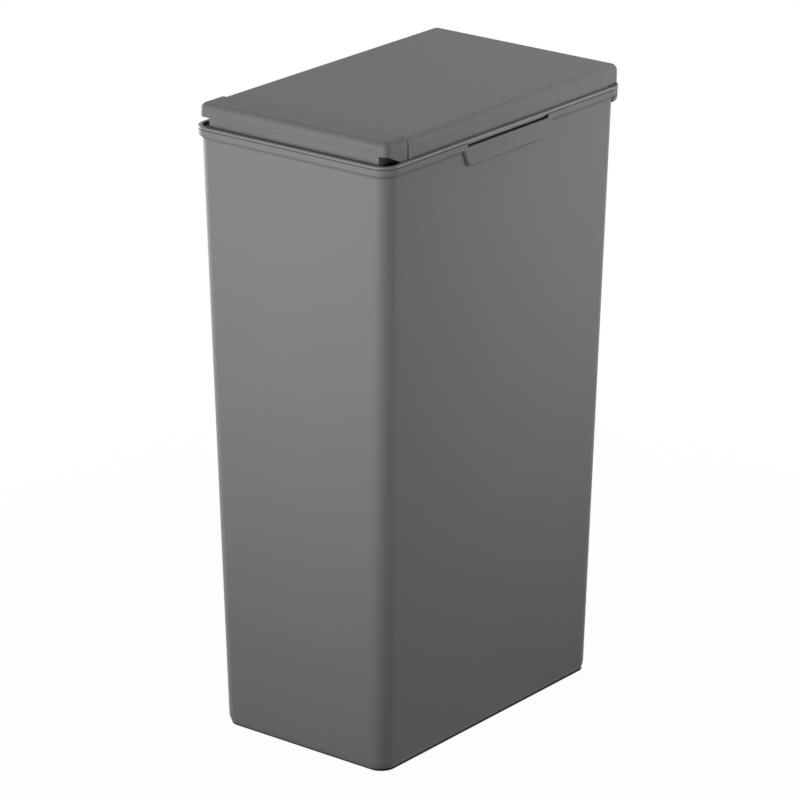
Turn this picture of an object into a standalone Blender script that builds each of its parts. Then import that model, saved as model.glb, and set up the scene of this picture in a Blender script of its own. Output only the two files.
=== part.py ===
"""Touch-top waste bin for a kitchen, 40 litres.

A tapered plastic body carries a lift-off lid frame. The lid is hinged at the back of the frame and
is held shut by a hook under its front edge. Pressing the touch bar turns the hook and frees the lid.

Metres, +Z up. The front is -Y, the hinge is at +Y, and +X is the right side seen from the front.
The origin is on the floor, under the middle of the lid frame. Places along the bin are given as
depths behind the frame's front edge.
"""
import math

import bmesh
import bpy
from mathutils import Matrix, Vector

# Clearances and cutting allowances
GAP = 0.0003
SINK = 0.0005
OVERRUN = 0.004
WELD = 0.000001

# Lid frame: the ring that caps the body
FRAME_WIDTH = 0.2304
FRAME_LENGTH = 0.3665
FRAME_CORNER = 0.018
RIM_HEIGHT = 0.6005
BEAD_HEIGHT = 0.0027
BEAD_WIDTH = 0.0040
BEAD_ROUND = 0.0011
DECK_DROP = 0.0033
DECK_THICKNESS = 0.0016
FRAME_LIP = 0.0085
SKIRT_THICKNESS = 0.0018
SKIRT_DEPTH = 0.0232
MOUTH_REAR_INSET = 0.0195
TROUGH_DROP = 0.0019
TROUGH_REAR_INSET = 0.0032
APRON_DEPTH = 0.0215
APRON_WALL = 0.0023
APRON_SIDE_INSET = 0.0058
APRON_LENGTH = 0.0115
APRON_CORNER = 0.0130
LAND_REACH = 0.0044

# Body: the tapered bucket
BODY_STEP = 0.0030
BODY_REAR_INSET = 0.0041
BASE_SIDE_INSET = 0.0162
BASE_REAR_INSET = 0.0190
BASE_FRONT = 0.0172
BODY_CORNER = 0.0167
BASE_ROUND = 0.0030
WALL = 0.0022
COLLAR_HEIGHT = 0.0052
FLARE_HEIGHT = 0.0045
FLOOR_THICKNESS = 0.0038
BASE_RECESS_INSET = 0.026
BASE_RECESS_DEPTH = 0.0015

# Tabs: raised panels below the collar on the long sides, each with a slot under the frame
TAB_OFFSET = 0.00215
TAB_TOP_LENGTH = 0.1389
TAB_LOW_LENGTH = 0.1185
TAB_HEIGHT = 0.0235
TAB_CORNER = 0.0045
TAB_ROUND = 0.0026
TAB_REST = 0.0025
SLOT_LENGTH = 0.1240
SLOT_HEIGHT = 0.0033

# Base pads
PAD_RADIUS = 0.0090
PAD_STAND_OUT = 0.0008
PAD_THICKNESS = 0.0031
PAD_INSET = 0.022

# Lid cover
LID_SIDE_INSET = 0.0047
LID_FRONT = 0.0375
LID_REAR_INSET = 0.0037
LID_RISE = 0.0193
LID_SINK = 0.0005
LID_REAR_RISE = 0.0020
LID_REAR_RISE_LENGTH = 0.0242
LID_CORNER = 0.0068
LID_ROUND = 0.0064
LID_WALL = 0.0022

# Touch bar
BAR_FRONT = 0.0058
BAR_SEAM = 0.0008
BAR_STEP = 0.0018
BAR_FACE_RISE = 0.0080
BAR_CORNER = 0.0070
BAR_ROUND = 0.0065
BAR_SLOPE_START = 0.0095
BAR_SLOPE_END = 0.0275

# Lid pan: the liner under the cover, whose front wall shows below the bar
PANEL_SIDE_INSET = 0.0111
PANEL_RISE = 0.0125
BOX_DROP = 0.0025
PAN_DROP = 0.0010
PAN_THICKNESS = 0.0018
PAN_WALL = 0.0020
PAN_WALL_RISE = 0.0055
PAN_REAR_INSET = 0.0205

# Lid hinge
HINGE_REAR_INSET = 0.0123
HINGE_RISE = 0.0113
HINGE_PIN_RADIUS = 0.0020
KNUCKLE_RADIUS = 0.0048
LUG_INSET = 0.0305
LUG_WIDTH = 0.012
KNUCKLE_WIDTH = 0.0060
SPRING_ROOM = 0.0160
HINGE_WIRE = 0.0014
HINGE_COIL_RADIUS = 0.0037
HINGE_COIL_TURNS = 6
HINGE_FRAME_LEG_ANGLE = -30
HINGE_LID_LEG_ANGLE = 90
HINGE_LID_LEG = 0.0160

# Bar pivot, bar springs and latch
BAR_PIVOT_DEPTH = 0.0330
BAR_PIVOT_RISE = 0.0047
BAR_PIN_RADIUS = 0.0020
BAR_LUG_RADIUS = 0.0036
BAR_LUG_WIDTH = 0.0030
BAR_SPRING_INSET = 0.0394
BAR_SPRING_DEPTH = 0.0160
BAR_SPRING_RADIUS = 0.0034
BAR_SPRING_WIRE = 0.0008
BAR_SPRING_TURNS = 7
SPIGOT_RADIUS = 0.0022
SPIGOT_HEIGHT = 0.0026
LATCH_DEPTH = 0.0220
LATCH_RISE = 0.0075
LATCH_PIN_RADIUS = 0.0016
LATCH_WIDTH = 0.0072
LATCH_BOSS_RADIUS = 0.0040
LATCH_ARM_REACH = 0.0100
LATCH_ARM_RISE = 0.0046
LATCH_ARM = 0.0030
LATCH_STEM = 0.0036
LATCH_NOSE = 0.0032
LATCH_NOSE_REACH = 0.0030
LATCH_CHEEK = 0.0030
LATCH_WIRE = 0.0008
LATCH_COIL_RADIUS = 0.0026
LATCH_COIL_TURNS = 4

# Latch keeper on the frame's front skirt
KEEPER_WIDTH = 0.028
KEEPER_DROP = 0.0060
KEEPER_HEIGHT = 0.0155
KEEPER_PLATE = 0.0018
SHELF_DROP = 0.0105
SHELF_THICKNESS = 0.0025
SHELF_REACH = 0.0056
SHELF_WIDTH = 0.011

# Screws
SCREW_RADIUS = 0.0014
SCREW_HEAD_RADIUS = 0.0028
SCREW_HEAD_HEIGHT = 0.0016
SCREW_BOSS_RADIUS = 0.0036
LID_SCREW_END_INSET = 0.0222
LID_SCREW_SIDE_INSET = 0.0120

# Smoothness of the faceted solids
CORNER_STEPS = 7
ROUND_STEPS = 4
TURN_STEPS = 16
CURL_POINTS = 9


# Widths worked out from the frame's width
FRAME_HALF = FRAME_WIDTH / 2
BASE_WIDTH = FRAME_WIDTH - 2 * BASE_SIDE_INSET
LID_HALF = FRAME_HALF - LID_SIDE_INSET
LID_WIDTH = 2 * LID_HALF
PANEL_HALF = LID_HALF - PANEL_SIDE_INSET
PAN_HALF = LID_HALF - LID_WALL - GAP
LUG_MIDDLE = LID_HALF - LUG_INSET
LID_SCREW_SPREAD = LID_HALF - LID_SCREW_SIDE_INSET
BAR_SPRING_SPREAD = PANEL_HALF - BAR_SPRING_INSET

# Depths behind the frame's front edge, worked out from the frame's length
MOUTH_REAR = FRAME_LENGTH - MOUTH_REAR_INSET
TROUGH_REAR = FRAME_LENGTH - TROUGH_REAR_INSET
TROUGH_CORNER = LID_CORNER + GAP
APRON_START = FRAME_LENGTH - APRON_LENGTH
BODY_REAR = FRAME_LENGTH - BODY_REAR_INSET
BASE_LENGTH = FRAME_LENGTH - BASE_REAR_INSET - BASE_FRONT
TAB_MIDDLE = FRAME_LENGTH / 2 - TAB_OFFSET
LID_REAR = FRAME_LENGTH - LID_REAR_INSET
LID_RISE_START = LID_REAR - LID_REAR_RISE_LENGTH
HINGE_DEPTH = FRAME_LENGTH - HINGE_REAR_INSET
PAN_REAR = FRAME_LENGTH - PAN_REAR_INSET
BAR_REAR = LID_FRONT - BAR_SEAM
PANEL_FRONT = BAR_FRONT + LID_WALL + GAP
LID_SCREW_DEPTHS = (LID_FRONT + LID_SCREW_END_INSET, (LID_FRONT + LID_REAR) / 2,
                    LID_REAR - LID_SCREW_END_INSET - 2 * KNUCKLE_RADIUS)

# Heights worked out from the rim's height
COLLAR_TOP = RIM_HEIGHT - BEAD_HEIGHT - GAP
BODY_BOTTOM = PAD_STAND_OUT
FLOOR_TOP = BODY_BOTTOM + FLOOR_THICKNESS
DECK_TOP = RIM_HEIGHT - DECK_DROP
DECK_BOTTOM = DECK_TOP - DECK_THICKNESS
SKIRT_BOTTOM = DECK_TOP - SKIRT_DEPTH
TROUGH_FLOOR = RIM_HEIGHT - TROUGH_DROP
LID_TOP = RIM_HEIGHT + LID_RISE
LID_BOTTOM = RIM_HEIGHT - LID_SINK
BAR_TOP = LID_TOP + BAR_STEP
BAR_FACE_BOTTOM = RIM_HEIGHT + BAR_FACE_RISE
PANEL_TOP = RIM_HEIGHT + PANEL_RISE
BOX_FLOOR_BOTTOM = RIM_HEIGHT - BOX_DROP
BOX_FLOOR_TOP = BOX_FLOOR_BOTTOM + PAN_THICKNESS
PAN_FLOOR_BOTTOM = RIM_HEIGHT - PAN_DROP
PAN_FLOOR_TOP = PAN_FLOOR_BOTTOM + PAN_THICKNESS
PAN_WALL_TOP = RIM_HEIGHT + PAN_WALL_RISE
HINGE_HEIGHT = RIM_HEIGHT + HINGE_RISE
BAR_PIVOT_HEIGHT = RIM_HEIGHT + BAR_PIVOT_RISE
LATCH_HEIGHT = RIM_HEIGHT + LATCH_RISE
KEEPER_TOP = RIM_HEIGHT - KEEPER_DROP
KEEPER_BOTTOM = KEEPER_TOP - KEEPER_HEIGHT
SHELF_TOP = RIM_HEIGHT - SHELF_DROP


def from_front(depth):
    """Y of a place a given depth behind the frame's front edge."""
    return depth - FRAME_LENGTH / 2


def clear_scene():
    """Removes what the scene holds and makes the two collections."""
    for old in list(bpy.data.objects):
        bpy.data.objects.remove(old, do_unlink=True)
    collections = []
    for name in ("touch_bin", "cutters"):
        made = bpy.data.collections.new(name)
        bpy.context.scene.collection.children.link(made)
        collections.append(made)
    return collections


PIECES, CUTTERS = clear_scene()


def plastic(name, colour, roughness, metallic=0.0):
    """A Principled material with one colour, roughness and metallic value."""
    made = bpy.data.materials.new(name)
    made.use_nodes = True
    shader = made.node_tree.nodes["Principled BSDF"]
    shader.inputs["Base Color"].default_value = (*colour, 1.0)
    shader.inputs["Roughness"].default_value = roughness
    shader.inputs["Metallic"].default_value = metallic
    return made


BODY_GREY = plastic("body_grey_polypropylene", (0.215, 0.215, 0.217), 0.50)
FRAME_GREY = plastic("frame_grey_polypropylene", (0.195, 0.195, 0.197), 0.50)
LID_GREY = plastic("lid_grey_polypropylene", (0.165, 0.165, 0.167), 0.46)
BAR_GREY = plastic("bar_grey_abs", (0.170, 0.170, 0.172), 0.44)
LATCH_ACETAL = plastic("latch_acetal", (0.040, 0.040, 0.042), 0.40)
PAD_RUBBER = plastic("pad_rubber", (0.020, 0.020, 0.020), 0.80)
PIN_STEEL = plastic("pin_steel", (0.560, 0.560, 0.560), 0.30, 1.0)
SPRING_STEEL = plastic("spring_steel", (0.450, 0.450, 0.460), 0.28, 1.0)


def make_object(name, bm, material=None):
    """Turns a bmesh into an object: a piece if it has a material, and otherwise a cutter."""
    bmesh.ops.recalc_face_normals(bm, faces=bm.faces)
    if bm.calc_volume(signed=True) < 0:
        bmesh.ops.reverse_faces(bm, faces=bm.faces)
    mesh = bpy.data.meshes.new(name)
    bm.to_mesh(mesh)
    bm.free()
    made = bpy.data.objects.new(name, mesh)
    if material:
        PIECES.objects.link(made)
        mesh.materials.append(material)
    else:
        CUTTERS.objects.link(made)
        made.hide_render = True
        made.display_type = "WIRE"
    return made


def combine(piece, tool, operation):
    """Adds one exact boolean to a piece."""
    step = piece.modifiers.new(f"{operation.lower()}_{tool.name}", "BOOLEAN")
    step.operation = operation
    step.object = tool
    step.solver = "EXACT"


def cut(piece, *tools):
    for tool in tools:
        combine(piece, tool, "DIFFERENCE")


def join(piece, *tools):
    for tool in tools:
        combine(piece, tool, "UNION")


def set_origin(piece, origin):
    """Puts a moving piece's origin on its joint's axis and leaves its shape where it is."""
    piece.data.transform(Matrix.Translation(-Vector(origin)))
    piece.location = origin


def smooth(piece, angle=math.radians(35)):
    piece.data.shade_smooth()
    piece.data.set_sharp_from_angle(angle=angle)


def block_mesh(x, y, z):
    """A cube primitive stretched between the low and high values along each axis."""
    bm = bmesh.new()
    bmesh.ops.create_cube(bm, size=1.0)
    size = [high - low for low, high in (x, y, z)]
    middle = [(high + low) / 2 for low, high in (x, y, z)]
    bmesh.ops.scale(bm, vec=size, verts=bm.verts)
    bmesh.ops.translate(bm, vec=middle, verts=bm.verts)
    return bm


def block(name, x, y, z, material=None):
    return make_object(name, block_mesh(x, y, z), material)


def bevel_where(bm, chosen, width, steps):
    """Rounds the edges whose two ends both pass a test."""
    edges = [edge for edge in bm.edges if all(chosen(vert.co) for vert in edge.verts)]
    bmesh.ops.bevel(bm, geom=edges, offset=width, segments=steps, profile=0.5, affect="EDGES",
                    clamp_overlap=True)


def disc(name, radius, centre, axis, length, material=None):
    """A capped cylinder whose middle is at a point, along X, Y or Z."""
    bm = bmesh.new()
    bmesh.ops.create_cone(bm, cap_ends=True, segments=TURN_STEPS, radius1=radius, radius2=radius,
                          depth=length)
    turn = {"X": Matrix.Rotation(math.pi / 2, 3, "Y"), "Y": Matrix.Rotation(math.pi / 2, 3, "X"),
            "Z": Matrix.Identity(3)}[axis]
    bmesh.ops.rotate(bm, cent=(0, 0, 0), matrix=turn, verts=bm.verts)
    bmesh.ops.translate(bm, vec=centre, verts=bm.verts)
    return make_object(name, bm, material)


def side_prism(name, outline, x, material=None):
    """A flat outline in depth and height, extruded between two values of X."""
    bm = bmesh.new()
    ring = [bm.verts.new((x[0], from_front(depth), height)) for depth, height in outline]
    face = bm.faces.new(ring)
    grown = bmesh.ops.extrude_face_region(bm, geom=[face])["geom"]
    moved = [item for item in grown if isinstance(item, bmesh.types.BMVert)]
    bmesh.ops.translate(bm, vec=(x[1] - x[0], 0, 0), verts=moved)
    return make_object(name, bm, material)


def rounded_rectangle(half_width, front, rear, radius, height):
    """A level outline with four equal round corners, counter-clockwise from the front right."""
    points = []
    corners = ((1, front, -90), (1, rear, 0), (-1, rear, 90), (-1, front, 180))
    for side, edge, start in corners:
        inward = 1 if edge == front else -1
        for step in range(CORNER_STEPS + 1):
            angle = math.radians(start + 90 * step / CORNER_STEPS)
            x = side * (half_width - radius) + radius * math.cos(angle)
            y = edge + inward * radius + radius * math.sin(angle)
            points.append((x, y, height))
    return points


def loft(name, outlines, material=None, closed=False):
    """Skins unlike outlines of equal count, one after another, and caps the ends or closes the ring."""
    bm = bmesh.new()
    rings = [[bm.verts.new(point) for point in outline] for outline in outlines]
    pairs = list(zip(rings, rings[1:]))
    if closed:
        pairs.append((rings[-1], rings[0]))
    for lower, upper in pairs:
        for index, vert in enumerate(lower):
            before = index - 1
            bm.faces.new((lower[before], vert, upper[index], upper[before]))
    if not closed:
        for ring in (rings[0], rings[-1]):
            bm.faces.new(ring)
    return make_object(name, bm, material)


def turned(name, profile, axis, place, material):
    """A turned piece: a profile of radius and height, top to bottom, swept by a Screw modifier."""
    mesh = bpy.data.meshes.new(name)
    edges = [(index, index + 1) for index in range(len(profile) - 1)]
    mesh.from_pydata([(radius, 0, height) for radius, height in profile], edges, [])
    mesh.materials.append(material)
    made = bpy.data.objects.new(name, mesh)
    PIECES.objects.link(made)
    made.location = place
    made.rotation_euler = {"X": (0, math.pi / 2, 0), "-X": (0, -math.pi / 2, 0),
                           "Y": (-math.pi / 2, 0, 0), "-Y": (math.pi / 2, 0, 0),
                           "Z": (0, 0, 0), "-Z": (math.pi, 0, 0)}[axis]
    sweep = made.modifiers.new("turn", "SCREW")
    sweep.steps = TURN_STEPS
    sweep.render_steps = TURN_STEPS
    sweep.use_merge_vertices = True
    sweep.merge_threshold = WELD
    return made


def round_end(radius, height, fillet, top):
    """Profile points of a filleted end on the turning axis, from the centre out or back in."""
    points = []
    for step in range(ROUND_STEPS):
        angle = math.pi / 2 * step / (ROUND_STEPS - 1)
        across = radius - fillet + fillet * math.sin(angle)
        along = fillet * (1 - math.cos(angle))
        points.append((across, height - along if top else height + along))
    return [(0, height)] + points if top else points[::-1] + [(0, height)]


def wire(name, points, radius, material):
    """A round wire through points: a curve with a bevel and filled caps, made a welded mesh."""
    curve = bpy.data.curves.new(name, "CURVE")
    curve.dimensions = "3D"
    curve.bevel_depth = radius
    curve.bevel_resolution = 1
    curve.use_fill_caps = True
    spline = curve.splines.new("POLY")
    spline.points.add(len(points) - 1)
    for target, point in zip(spline.points, points):
        target.co = (*point, 1.0)
    guide = bpy.data.objects.new(f"{name}_guide", curve)
    CUTTERS.objects.link(guide)
    seen = guide.evaluated_get(bpy.context.evaluated_depsgraph_get())
    mesh = bpy.data.meshes.new_from_object(seen)
    bpy.data.objects.remove(guide, do_unlink=True)
    bm = bmesh.new()
    bm.from_mesh(mesh)
    bmesh.ops.remove_doubles(bm, verts=bm.verts, dist=WELD)
    bpy.data.meshes.remove(mesh)
    made = make_object(name, bm, material)
    smooth(made, math.radians(60))
    return made


def least_gap(points, radius, apart):
    """Least free gap between stretches of a wire that lie at least so many points apart."""
    least = None
    for index, point in enumerate(points):
        for other in points[index + apart:]:
            gap = (Vector(point) - Vector(other)).length - 2 * radius
            least = gap if least is None else min(least, gap)
    return least


def report_gap(name, points, radius):
    gap = least_gap(points, radius, CURL_POINTS // 2 + 1)
    print(f"{name}: least gap to itself {gap * 1000:.2f} mm")


# Pivot places as Y and Z
HINGE = (from_front(HINGE_DEPTH), HINGE_HEIGHT)
BAR_PIVOT = (from_front(BAR_PIVOT_DEPTH), BAR_PIVOT_HEIGHT)
LATCH_PIVOT = (from_front(LATCH_DEPTH), LATCH_HEIGHT)


def body_share(height):
    return height / RIM_HEIGHT


def body_half_width(height):
    """Half the body's outer width at a height, without the collar."""
    top = FRAME_HALF - BODY_STEP
    return BASE_WIDTH / 2 + (top - BASE_WIDTH / 2) * body_share(height)


def body_outline(height, shift, wall=0.0):
    """Outline of the tapered body at a height, moved in by a shift, on its outer or inner face."""
    share = body_share(height)
    inset = shift + wall
    front = BASE_FRONT + (BODY_STEP - BASE_FRONT) * share
    base_rear = BASE_FRONT + BASE_LENGTH
    rear = base_rear + (BODY_REAR - BODY_STEP - base_rear) * share
    collar_radius = FRAME_CORNER - BODY_CORNER
    radius = BODY_CORNER - wall - max(shift, 0) + collar_radius * max(-shift, 0) / BODY_STEP
    return rounded_rectangle(body_half_width(height) - inset, from_front(front + inset),
                             from_front(rear - inset), radius, height)


def collar_outset(share):
    """Smooth step out of the wall to the collar, from 0 to 1."""
    return BODY_STEP * (3 - 2 * share) * share ** 2


def body_outside():
    """The body's outer form: base round, tapered wall, flare and collar."""
    outlines = []
    for step in range(ROUND_STEPS + 1):
        angle = math.pi / 2 * step / ROUND_STEPS
        outlines.append(body_outline(BODY_BOTTOM + BASE_ROUND * (1 - math.cos(angle)),
                                     BASE_ROUND * (1 - math.sin(angle))))
    collar_bottom = COLLAR_TOP - COLLAR_HEIGHT
    flare_bottom = collar_bottom - FLARE_HEIGHT
    for step in range(ROUND_STEPS + 1):
        share = step / ROUND_STEPS
        outlines.append(body_outline(flare_bottom + FLARE_HEIGHT * share, -collar_outset(share)))
    outlines.append(body_outline(COLLAR_TOP - GAP, -BODY_STEP))
    outlines.append(body_outline(COLLAR_TOP, GAP - BODY_STEP))
    return outlines


def body_inside():
    """The bucket's hollow, one wall inside the outer form, with the jog that backs the collar."""
    outlines = []
    inner_round = BASE_ROUND - WALL / 2
    for step in range(ROUND_STEPS + 1):
        angle = math.pi / 2 * step / ROUND_STEPS
        outlines.append(body_outline(FLOOR_TOP + inner_round * (1 - math.cos(angle)),
                                     inner_round * (1 - math.sin(angle)), WALL))
    flare_bottom = COLLAR_TOP - COLLAR_HEIGHT - FLARE_HEIGHT + WALL
    for step in range(ROUND_STEPS + 1):
        share = step / ROUND_STEPS
        outlines.append(body_outline(flare_bottom + FLARE_HEIGHT * share,
                                     -collar_outset(share), WALL))
    outlines.append(body_outline(COLLAR_TOP + OVERRUN, -BODY_STEP, WALL))
    return outlines


def tab_block(name, side, shrink):
    """The raised panel on one long side, or its hollow, smaller by a shrink, with round edges."""
    top = COLLAR_TOP - TAB_REST
    low = COLLAR_TOP - TAB_HEIGHT + shrink
    middle = from_front(TAB_MIDDLE)
    stand_out = BODY_STEP - GAP / 10 - shrink
    inner = body_half_width(low) - WALL / 2 - shrink
    half = TAB_TOP_LENGTH / 2 - shrink
    narrowing = (TAB_TOP_LENGTH - TAB_LOW_LENGTH) / 2
    bm = block_mesh(sorted((side * inner, side * (body_half_width(top) + stand_out))),
                    (middle - half, middle + half), (low, top))
    for vert in bm.verts:
        if vert.co.z < (low + top) / 2:
            vert.co.y -= math.copysign(narrowing, vert.co.y - middle)
            if abs(vert.co.x) > inner + SINK:
                vert.co.x = side * (body_half_width(low) + stand_out)
    lower = [edge for edge in bm.edges if all(vert.co.z < low + SINK for vert in edge.verts)
             and abs(edge.verts[0].co.y - edge.verts[1].co.y) < SINK]
    bmesh.ops.bevel(bm, geom=lower, offset=TAB_CORNER, segments=ROUND_STEPS, profile=0.5,
                    affect="EDGES", clamp_overlap=True)
    rim = [edge for edge in bm.edges if all(abs(vert.co.x) > inner + SINK for vert in edge.verts)
           and not all(vert.co.z > top - SINK for vert in edge.verts)]
    bmesh.ops.bevel(bm, geom=rim, offset=TAB_ROUND - shrink / 2, segments=ROUND_STEPS,
                    profile=0.5, affect="EDGES", clamp_overlap=True)
    return make_object(name, bm)


def slot_cutter(name, side):
    """Opens a low slot between a tab and the frame, through the collar's wall."""
    middle = from_front(TAB_MIDDLE)
    half = SLOT_LENGTH / 2
    inner = body_half_width(COLLAR_TOP) - WALL
    return block(name, sorted((side * (inner - OVERRUN), side * (FRAME_HALF + OVERRUN))),
                 (middle - half, middle + half),
                 (COLLAR_TOP - SLOT_HEIGHT, COLLAR_TOP + OVERRUN))


def pad_places():
    """Middles of the four base pads."""
    front = from_front(BASE_FRONT + PAD_INSET)
    rear = from_front(BASE_FRONT + BASE_LENGTH - PAD_INSET)
    across = BASE_WIDTH / 2 - PAD_INSET
    return {"front_left": (-across, front), "front_right": (across, front),
            "rear_left": (-across, rear), "rear_right": (across, rear)}


def make_bin_body():
    """One moulded bucket: tapered walls, collar, side tabs and pockets for the base pads."""
    body = loft("bin_body", body_outside(), BODY_GREY)
    hollow = loft("body_hollow", body_inside())
    pocket_top = PAD_THICKNESS + GAP
    for name, (x, y) in pad_places().items():
        boss_height = 2 * WALL
        boss = disc(f"pad_boss_{name}", PAD_RADIUS + WALL, (x, y, FLOOR_TOP), "Z", boss_height)
        cut(hollow, boss)
    for word, side in (("left", -1), ("right", 1)):
        join(body, tab_block(f"tab_{word}", side, 0))
        join(hollow, tab_block(f"tab_hollow_{word}", side, WALL))
    cut(body, hollow)
    for word, side in (("left", -1), ("right", 1)):
        cut(body, slot_cutter(f"slot_{word}", side))
    for name, (x, y) in pad_places().items():
        pocket = disc(f"pad_pocket_{name}", PAD_RADIUS + GAP, (x, y, 0), "Z", 2 * pocket_top)
        cut(body, pocket)
    recess = block_mesh(
        (BASE_RECESS_INSET - BASE_WIDTH / 2, BASE_WIDTH / 2 - BASE_RECESS_INSET),
        (from_front(BASE_FRONT + BASE_RECESS_INSET + PAD_INSET),
         from_front(BASE_FRONT + BASE_LENGTH - BASE_RECESS_INSET - PAD_INSET)),
        (-OVERRUN, BODY_BOTTOM + BASE_RECESS_DEPTH))
    bevel_where(recess, lambda co: co.z > 0, BASE_RECESS_DEPTH / 2, 2)
    cut(body, make_object("base_recess", recess))
    smooth(body)
    return body


def make_base_pads():
    """Four rubber pads that stand a little proud of the base."""
    edge = PAD_STAND_OUT / 2
    profile = round_end(PAD_RADIUS, PAD_THICKNESS, edge, True)
    profile += round_end(PAD_RADIUS, 0, edge, False)
    for name, (x, y) in pad_places().items():
        turned(f"base_pad_{name}", profile, "Z", (x, y, 0), PAD_RUBBER)


def frame_outline(inset, rear_depth, height, radius=None):
    """Outline in the lid frame: inset alike at the sides and front, with its own rear depth."""
    corner = radius or FRAME_CORNER - inset
    return rounded_rectangle(FRAME_HALF - inset, from_front(inset), from_front(rear_depth), corner,
                             height)


def frame_outlines():
    """The frame's section, swept round: bead, deck, skirt and the seat on the body's edge."""
    seat = WALL + GAP
    seat_rear = BODY_REAR - seat
    bead_inner_rear = seat_rear - DECK_THICKNESS
    flange_bottom = RIM_HEIGHT - BEAD_HEIGHT
    skirt_outer = FRAME_LIP - SKIRT_THICKNESS
    skirt_rear = MOUTH_REAR + SKIRT_THICKNESS
    skirt_corner = FRAME_CORNER - WALL
    mouth_corner = skirt_corner - SKIRT_THICKNESS
    chamfer = BEAD_ROUND * 0.3
    section = [
        (GAP, FRAME_LENGTH - GAP, flange_bottom),
        (0, FRAME_LENGTH, flange_bottom + GAP),
        (0, FRAME_LENGTH, RIM_HEIGHT - BEAD_ROUND),
        (chamfer, FRAME_LENGTH - chamfer, RIM_HEIGHT - chamfer),
        (BEAD_ROUND, FRAME_LENGTH - BEAD_ROUND, RIM_HEIGHT),
        (BEAD_WIDTH - BEAD_ROUND / 2, bead_inner_rear + BEAD_ROUND / 2, RIM_HEIGHT),
        (BEAD_WIDTH, bead_inner_rear, RIM_HEIGHT - BEAD_ROUND / 2),
        (BEAD_WIDTH, bead_inner_rear, DECK_TOP),
        (FRAME_LIP, MOUTH_REAR, DECK_TOP, mouth_corner),
        (FRAME_LIP, MOUTH_REAR, SKIRT_BOTTOM, mouth_corner),
        (skirt_outer, skirt_rear, SKIRT_BOTTOM, skirt_corner),
        (skirt_outer, skirt_rear, DECK_BOTTOM, skirt_corner),
        (seat, seat_rear, DECK_BOTTOM),
        (seat, seat_rear, flange_bottom),
    ]
    return [frame_outline(*row) for row in section]


def make_apron():
    """Skirt round the frame's back, with round lower corners, which hides the joint with the body."""
    top = RIM_HEIGHT - BEAD_ROUND - GAP
    low = RIM_HEIGHT - APRON_DEPTH
    outer = GAP / 2
    inner = outer + APRON_WALL
    section = [(outer, top), (outer, low + outer), (2 * outer, low), (inner - outer, low),
               (inner, low + outer), (inner, top)]
    outlines = [frame_outline(inset, FRAME_LENGTH - inset, height) for inset, height in section]
    apron = loft("frame_apron", outlines, closed=True)
    half = FRAME_HALF - APRON_SIDE_INSET
    keep = block_mesh((-half, half), (from_front(APRON_START), from_front(FRAME_LENGTH + OVERRUN)),
                      (low - OVERRUN / 10, RIM_HEIGHT + OVERRUN))
    lower = [edge for edge in keep.edges if all(vert.co.z < low for vert in edge.verts)
             and edge.verts[0].co.x * edge.verts[1].co.x > 0]
    bmesh.ops.bevel(keep, geom=lower, offset=APRON_CORNER, segments=CORNER_STEPS, profile=0.5,
                    affect="EDGES", clamp_overlap=True)
    combine(apron, make_object("frame_apron_part", keep), "INTERSECT")
    return apron


def make_frame_lug(word, side):
    """Upright bearing for one hinge pin, on the frame's rear deck."""
    x = side * LUG_MIDDLE
    across = (x - LUG_WIDTH / 2, x + LUG_WIDTH / 2)
    lug = block(f"frame_lug_{word}", across, (HINGE[0] - KNUCKLE_RADIUS, HINGE[0] + KNUCKLE_RADIUS),
                (DECK_TOP - SINK, HINGE[1]))
    head = disc(f"frame_lug_head_{word}", KNUCKLE_RADIUS, (x, *HINGE), "X", LUG_WIDTH)
    join(lug, head)
    return lug


def make_buffer_land(word, side):
    """Deck widened inwards along each long side, where the lid's rubber buffers sit."""
    inner = FRAME_HALF - FRAME_LIP - LAND_REACH
    middle = from_front(TAB_MIDDLE)
    half = TAB_TOP_LENGTH / 2
    return block(f"frame_land_{word}", sorted((side * inner, side * (inner + LAND_REACH + SINK))),
                 (middle - half, middle + half),
                 (DECK_BOTTOM + SINK / 10, DECK_TOP - SINK / 10))


def make_lid_frame():
    """The lift-off ring: bead and skirt, rear deck with lugs, apron, buffer lands and keeper seat."""
    frame = loft("lid_frame", frame_outlines(), FRAME_GREY, closed=True)
    trough_half = FRAME_HALF - BEAD_WIDTH - SINK / 5
    trough_front = from_front(MOUTH_REAR - TROUGH_CORNER)
    trough = loft("frame_trough", [
        rounded_rectangle(trough_half, trough_front, from_front(TROUGH_REAR), TROUGH_CORNER, height)
        for height in (TROUGH_FLOOR, RIM_HEIGHT + OVERRUN)])
    cut(frame, trough)
    join(frame, make_apron())
    for word, side in (("left", -1), ("right", 1)):
        join(frame, make_frame_lug(word, side))
        join(frame, make_buffer_land(word, side))
        bore = disc(f"frame_bore_{word}", HINGE_PIN_RADIUS + GAP, (side * LUG_MIDDLE, *HINGE), "X",
                    LUG_WIDTH + OVERRUN)
        cut(frame, bore)
    for x in keeper_screw_places():
        hole = disc(f"keeper_hole_{x:.3f}", SCREW_RADIUS + GAP,
                    (x, from_front(FRAME_LIP), keeper_screw_height()), "Y", 2 * OVERRUN)
        cut(frame, hole)
    smooth(frame)
    return frame


def keeper_screw_places():
    spread = KEEPER_WIDTH / 2 - SCREW_HEAD_RADIUS - GAP
    return (-spread, spread)


def keeper_screw_height():
    return (KEEPER_TOP + KEEPER_BOTTOM) / 2


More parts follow.
